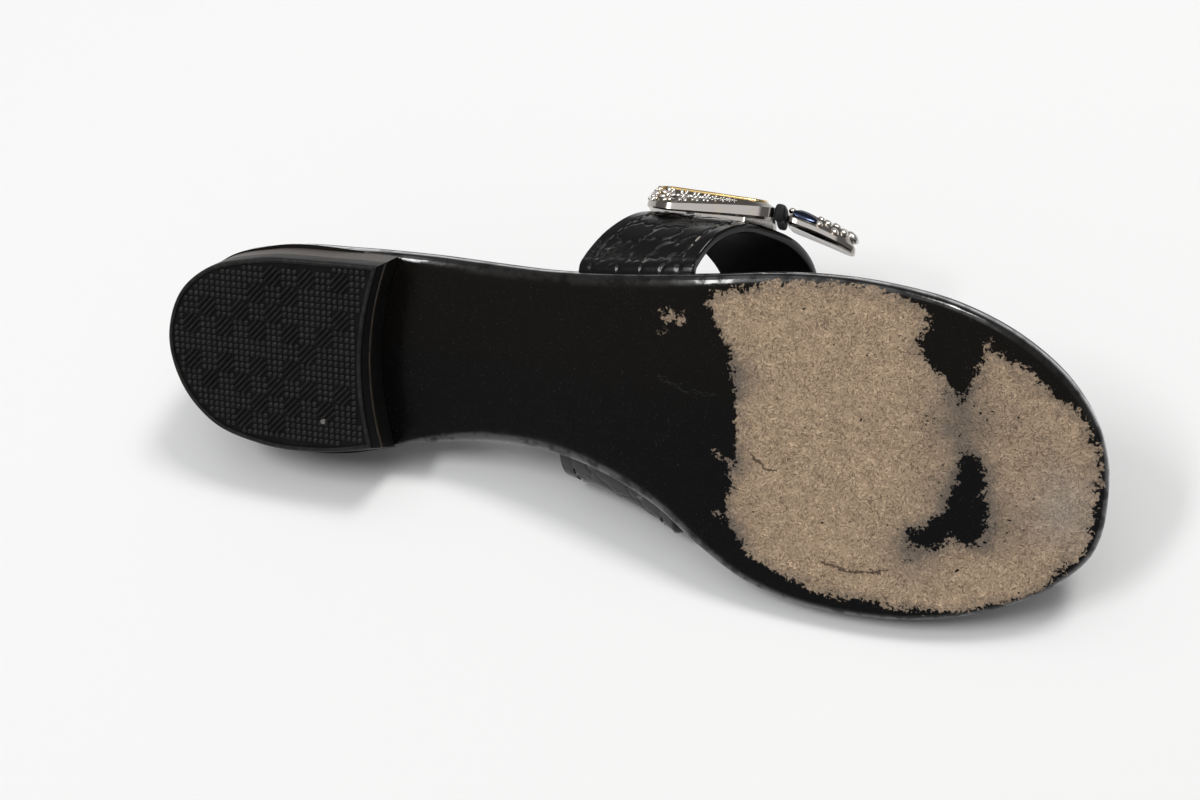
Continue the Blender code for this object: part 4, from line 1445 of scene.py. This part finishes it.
def make_tip(silver, cast):
    """Front tip with straight facets, its beads and its dark facet."""
    rings, high = shell_rings(FRONT_TIP, TIP_FOOT, 0.0)
    bm = ring_shell(rings)
    mark(bm, "high", np.repeat(high, BUCKLE_POINTS) * TIP_HOLLOWS + TIP_HIGH)
    cut_strips(bm, np.arange(*TIP_STRIPS), 1)
    bmesh.ops.translate(bm, vec=(0.0, FRONT_SHIFT, 0.0), verts=bm.verts)
    seat_buckle(bm)
    add_piece("buckle_front_silver", bm, silver, "silver_metal", "buckle_front", sharp=CAST_SHARP)
    sizes = np.array(FRONT_TIP)
    places = []
    for u, share, radius in BEADS:
        half, wall, full = smooth(sizes[:, 0], sizes[:, 1:], np.array([u]))[0]
        height = bevel_height(wall, full, min((1 - abs(share)) * half / FRAME_BEVEL, 1.0))
        shape = Matrix.Diagonal((radius, radius, radius * BEAD_FLAT, 1.0))
        places.append(Matrix.Translation((u, share * half + FRONT_SHIFT, height)) @ shape)
    beads = bmesh.new()
    stamp(beads, ball(14, 8), places)
    # The beads take the flowers' lighter silver: painted highlight
    add_metal("buckle_front_beads", beads, cast, METAL_HIGH)
    place = Matrix.Translation((0.0, FRONT_SHIFT, 0.0)) @ on_bevel(FRONT_TIP, *ALMOND_AT, ALMOND_SHARE)
    almond = bmesh.new()
    stamp(almond, ball(28, 14), [place @ Matrix.Diagonal((*ALMOND, 1.0))])
    dark = metal_finish("dark_facet", *FACET, tarnish=0.5, polish=0.08)
    add_metal("buckle_front_facet", almond, dark, ALMOND_HIGH)


def stand(place, run, out):
    """Matrix at a place, with x along a run and z pointing out."""
    return Matrix.Translation(place) @ Matrix((run, out.cross(run), out)).transposed().to_4x4()


def on_bevel(rows, u, v, share):
    """Matrix on a frame's bevel at the outline point nearest to u and v: along it, up it and out of it."""
    def at(step):
        edge_u, edge_v, wall, full = frame_outline(rows, FRAME_BEVEL * step)
        return np.column_stack([edge_u, edge_v, bevel_height(wall, full, step)])
    low = at(0.0)
    i = int(np.argmin(np.hypot(low[:, 0] - u, low[:, 1] - v)))
    here = at(share)
    run = Vector(here[(i + BEVEL_REACH) % BUCKLE_POINTS] - here[i - BEVEL_REACH]).normalized()
    up = Vector(at(share + BEVEL_STEP)[i] - at(share - BEVEL_STEP)[i])
    out = run.cross(up).normalized()
    if out.z < 0.0:
        out = -out
    return stand(here[i], run, out)


def make_florets(settings):
    """Cast flowers along the rear frame's bevel, each of petals round a middle bead."""
    bm = bmesh.new()
    places = []
    tilt = Matrix.Rotation(math.radians(PETAL_TILT), 4, "Y")
    for u, off, radius, petals in FLORETS:
        out = Matrix.Translation([radius * share for share in PETAL_OUT])
        shape = Matrix.Diagonal((*(radius * share for share in PETAL), 1.0))
        for v in sorted({off, -off}, reverse=True):
            middle = on_bevel(REAR_FRAME, u, v, FLORET_AT)
            places.append(middle @ Matrix.Scale(FLORET_BEAD * radius, 4))
            for k in range(petals):
                turn = Matrix.Rotation(2 * math.pi * k / petals, 4, "Z")
                places.append(middle @ turn @ out @ tilt @ shape)
    stamp(bm, ball(10, 6), places)
    # The flowers, and the front beads after them, take this lighter copy of the frame's silver: painted
    # highlight
    cast = metal_finish("cast_silver", settings.bright, settings.gold, CAST_SHADE, tarnish=0.8, polish=0.2)
    add_metal("buckle_rear_florets", bm, cast, WALL_HIGH)
    return cast


def make_rim(settings):
    """Gold cord round the rear frame's face."""
    radius = settings.rim_radius
    rings = []
    for turn in np.linspace(0.0, 2 * math.pi, RIM_SIDES, endpoint=False):
        u, v, wall, full = frame_outline(REAR_FRAME, FRAME_BEVEL - radius * math.cos(turn))
        rings.append(np.column_stack([u, v, full - RIM_SINK + radius * math.sin(turn)]))
    bm = ring_shell(rings, joined=True)
    gold = metal_finish("gold", settings.gold, GOLD_WARM, GOLD_SHADE, tarnish=0.7, polish=0.16)
    add_metal("buckle_rear_rim", bm, gold, METAL_HIGH)


def make_wrap(settings):
    """Leather roll between the two frames, with soft turns in it."""
    turns = np.linspace(0.0, -2 * math.pi, WRAP_POINTS, endpoint=False)
    waves = (np.cos(turns), np.sin(turns))
    round_u, round_n = (np.sign(wave) * np.abs(wave) ** WRAP_SQUARE for wave in waves)
    rings = []
    for share in np.linspace(-1.0, 1.0, WRAP_RINGS):
        size = 1.0 - WRAP_ROUND * max(0.0, (abs(share) - WRAP_END) / (1.0 - WRAP_END)) ** 2
        size -= WRAP_FOLD * abs(math.sin(share * WRAP_FOLDS))
        u = WRAP_AT + WRAP_WIDE / 2 * size * round_u
        n = WRAP_TALL / 2 * (1.0 + size * round_n)
        rings.append(np.column_stack([u, np.full(len(u), FRONT_SHIFT + share * WRAP_HALF), n]))
    bm = ring_shell(rings)
    mark(bm, "groove", NO_GROOVE)
    mark(bm, "outside", WRAP_OUTSIDE)
    mark(bm, "rim", 0.0)
    seat_buckle(bm)
    add_piece("buckle_wrap_leather", bm, strap_finish(settings, WRAP_DULL), "strap_leather", "buckle_wrap")


# Stage

def add_light(name, place, aim, size, power, tint):
    """A soft light of a width and length that points at a place."""
    lamp = bpy.data.lights.new(name, "AREA")
    lamp.shape = "RECTANGLE"
    lamp.size, lamp.size_y = size
    lamp.energy = power
    lamp.color = tint
    obj = bpy.data.objects.new(name, lamp)
    obj.location = place
    obj.rotation_euler = (Vector(aim) - Vector(place)).to_track_quat("-Z", "Y").to_euler()
    bpy.context.scene.collection.objects.link(obj)


def make_camera(settings):
    """Camera at the photograph's place on the shoe, turned to the shoe's middle."""
    roll, pitch, spin = (math.radians(angle) for angle in CAMERA_TURN)
    turn = Matrix.Rotation(spin, 3, "Z") @ Matrix.Rotation(pitch, 3, "Y") @ Matrix.Rotation(roll, 3, "X")
    right, down, forward = turn
    swing = forward.rotation_difference(CAMERA_AIM - CAMERA_AT).to_matrix()
    axes = SHOE_AXES @ swing @ Matrix((right, -down, -forward)).transposed()
    lens = bpy.data.cameras.new("camera")
    lens.sensor_width = SENSOR
    lens.lens = settings.focal
    lens.clip_start = CLIP_START
    camera = bpy.data.objects.new("camera", lens)
    camera.matrix_world = Matrix.Translation(SHOE @ CAMERA_AT) @ axes.to_4x4()
    bpy.context.scene.collection.objects.link(camera)
    bpy.context.scene.camera = camera


def make_stage(settings):
    """Floor, lights and even sky."""
    bm = bmesh.new()
    bmesh.ops.create_grid(bm, x_segments=1, y_segments=1, size=settings.floor_side / 2)
    mesh = bpy.data.meshes.new("floor")
    bm.to_mesh(mesh)
    bm.free()
    floor = bpy.data.objects.new("floor", mesh)
    mesh.materials.append(floor_finish(settings))
    bpy.context.scene.collection.objects.link(floor)
    world = bpy.data.worlds.new("sky")
    world.use_nodes = True
    sky = world.node_tree.nodes["Background"]
    sky.inputs["Color"].default_value = (1.0, 1.0, 1.0, 1.0)
    sky.inputs["Strength"].default_value = settings.sky
    bpy.context.scene.world = world
    for name, place, aim, size, tint in LIGHTS:
        add_light(name, place, aim, size, getattr(settings, name), tint)
    bpy.context.scene.view_settings.view_transform = "Standard"


class SANDAL_OT_sole(Operator):
    """Makes the outsole with its worn forefoot"""

    bl_idname = "sandal.sole"
    bl_label = "Make sole"

    def execute(self, context):
        make_sole(context.scene.sandal_sole)
        return {"FINISHED"}


class SANDAL_OT_heel(Operator):
    """Makes the heel's rubber tread, stacked layer and nail"""

    bl_idname = "sandal.heel"
    bl_label = "Make heel"

    def execute(self, context):
        make_heel(context.scene.sandal_sole)
        return {"FINISHED"}


class SANDAL_OT_insole(Operator):
    """Makes the insole with the pockets for the strap"""

    bl_idname = "sandal.insole"
    bl_label = "Make insole"

    def execute(self, context):
        make_insole()
        return {"FINISHED"}


class SANDAL_OT_strap(Operator):
    """Makes the strap with its embossing, creases and stitches"""

    bl_idname = "sandal.strap"
    bl_label = "Make strap"

    def execute(self, context):
        make_strap(context.scene.sandal_strap)
        return {"FINISHED"}


class SANDAL_OT_buckle(Operator):
    """Makes the buckle's frame and tip with rim, flowers and beads, and the leather roll between them"""

    bl_idname = "sandal.buckle"
    bl_label = "Make buckle"

    def execute(self, context):
        settings = context.scene.sandal_buckle
        silver = make_frame(settings)
        cast = make_florets(settings)
        make_rim(settings)
        make_tip(silver, cast)
        make_wrap(context.scene.sandal_strap)
        return {"FINISHED"}


class SANDAL_OT_stage(Operator):
    """Makes the camera, floor and lights"""

    bl_idname = "sandal.stage"
    bl_label = "Make stage"

    def execute(self, context):
        make_camera(context.scene.sandal_stage)
        make_stage(context.scene.sandal_stage)
        return {"FINISHED"}


class SANDAL_PT_panel(Panel):
    """Lists the sandal's pieces and their settings"""

    bl_label = "Slide sandal"
    bl_idname = "SANDAL_PT_panel"
    bl_space_type = "VIEW_3D"
    bl_region_type = "UI"
    bl_category = "Sandal"

    def draw(self, context):
        for group, operators in GROUPS:
            settings = getattr(context.scene, group)
            box = self.layout.box()
            for name in settings.__annotations__:
                box.prop(settings, name)
            for operator in operators:
                box.operator(operator.bl_idname)


GROUPS = (
    ("sandal_sole", (SANDAL_OT_sole, SANDAL_OT_heel, SANDAL_OT_insole)),
    ("sandal_strap", (SANDAL_OT_strap,)),
    ("sandal_buckle", (SANDAL_OT_buckle,)),
    ("sandal_stage", (SANDAL_OT_stage,)),
)
SETTINGS = (SoleSettings, StrapSettings, BuckleSettings, StageSettings)
OPERATORS = tuple(operator for _, operators in GROUPS for operator in operators)
CLASSES = (*SETTINGS, *OPERATORS, SANDAL_PT_panel)


def register():
    for cls in CLASSES:
        bpy.utils.register_class(cls)
    for (group, _), settings in zip(GROUPS, SETTINGS):
        setattr(bpy.types.Scene, group, PointerProperty(type=settings))


def unregister():
    for group, _ in GROUPS:
        delattr(bpy.types.Scene, group)
    for cls in reversed(CLASSES):
        bpy.utils.unregister_class(cls)


def main():
    register()
    bpy.ops.sandal.sole()
    bpy.ops.sandal.heel()
    bpy.ops.sandal.insole()
    bpy.ops.sandal.strap()
    bpy.ops.sandal.buckle()
    bpy.ops.sandal.stage()


if __name__ == "__main__":
    main()
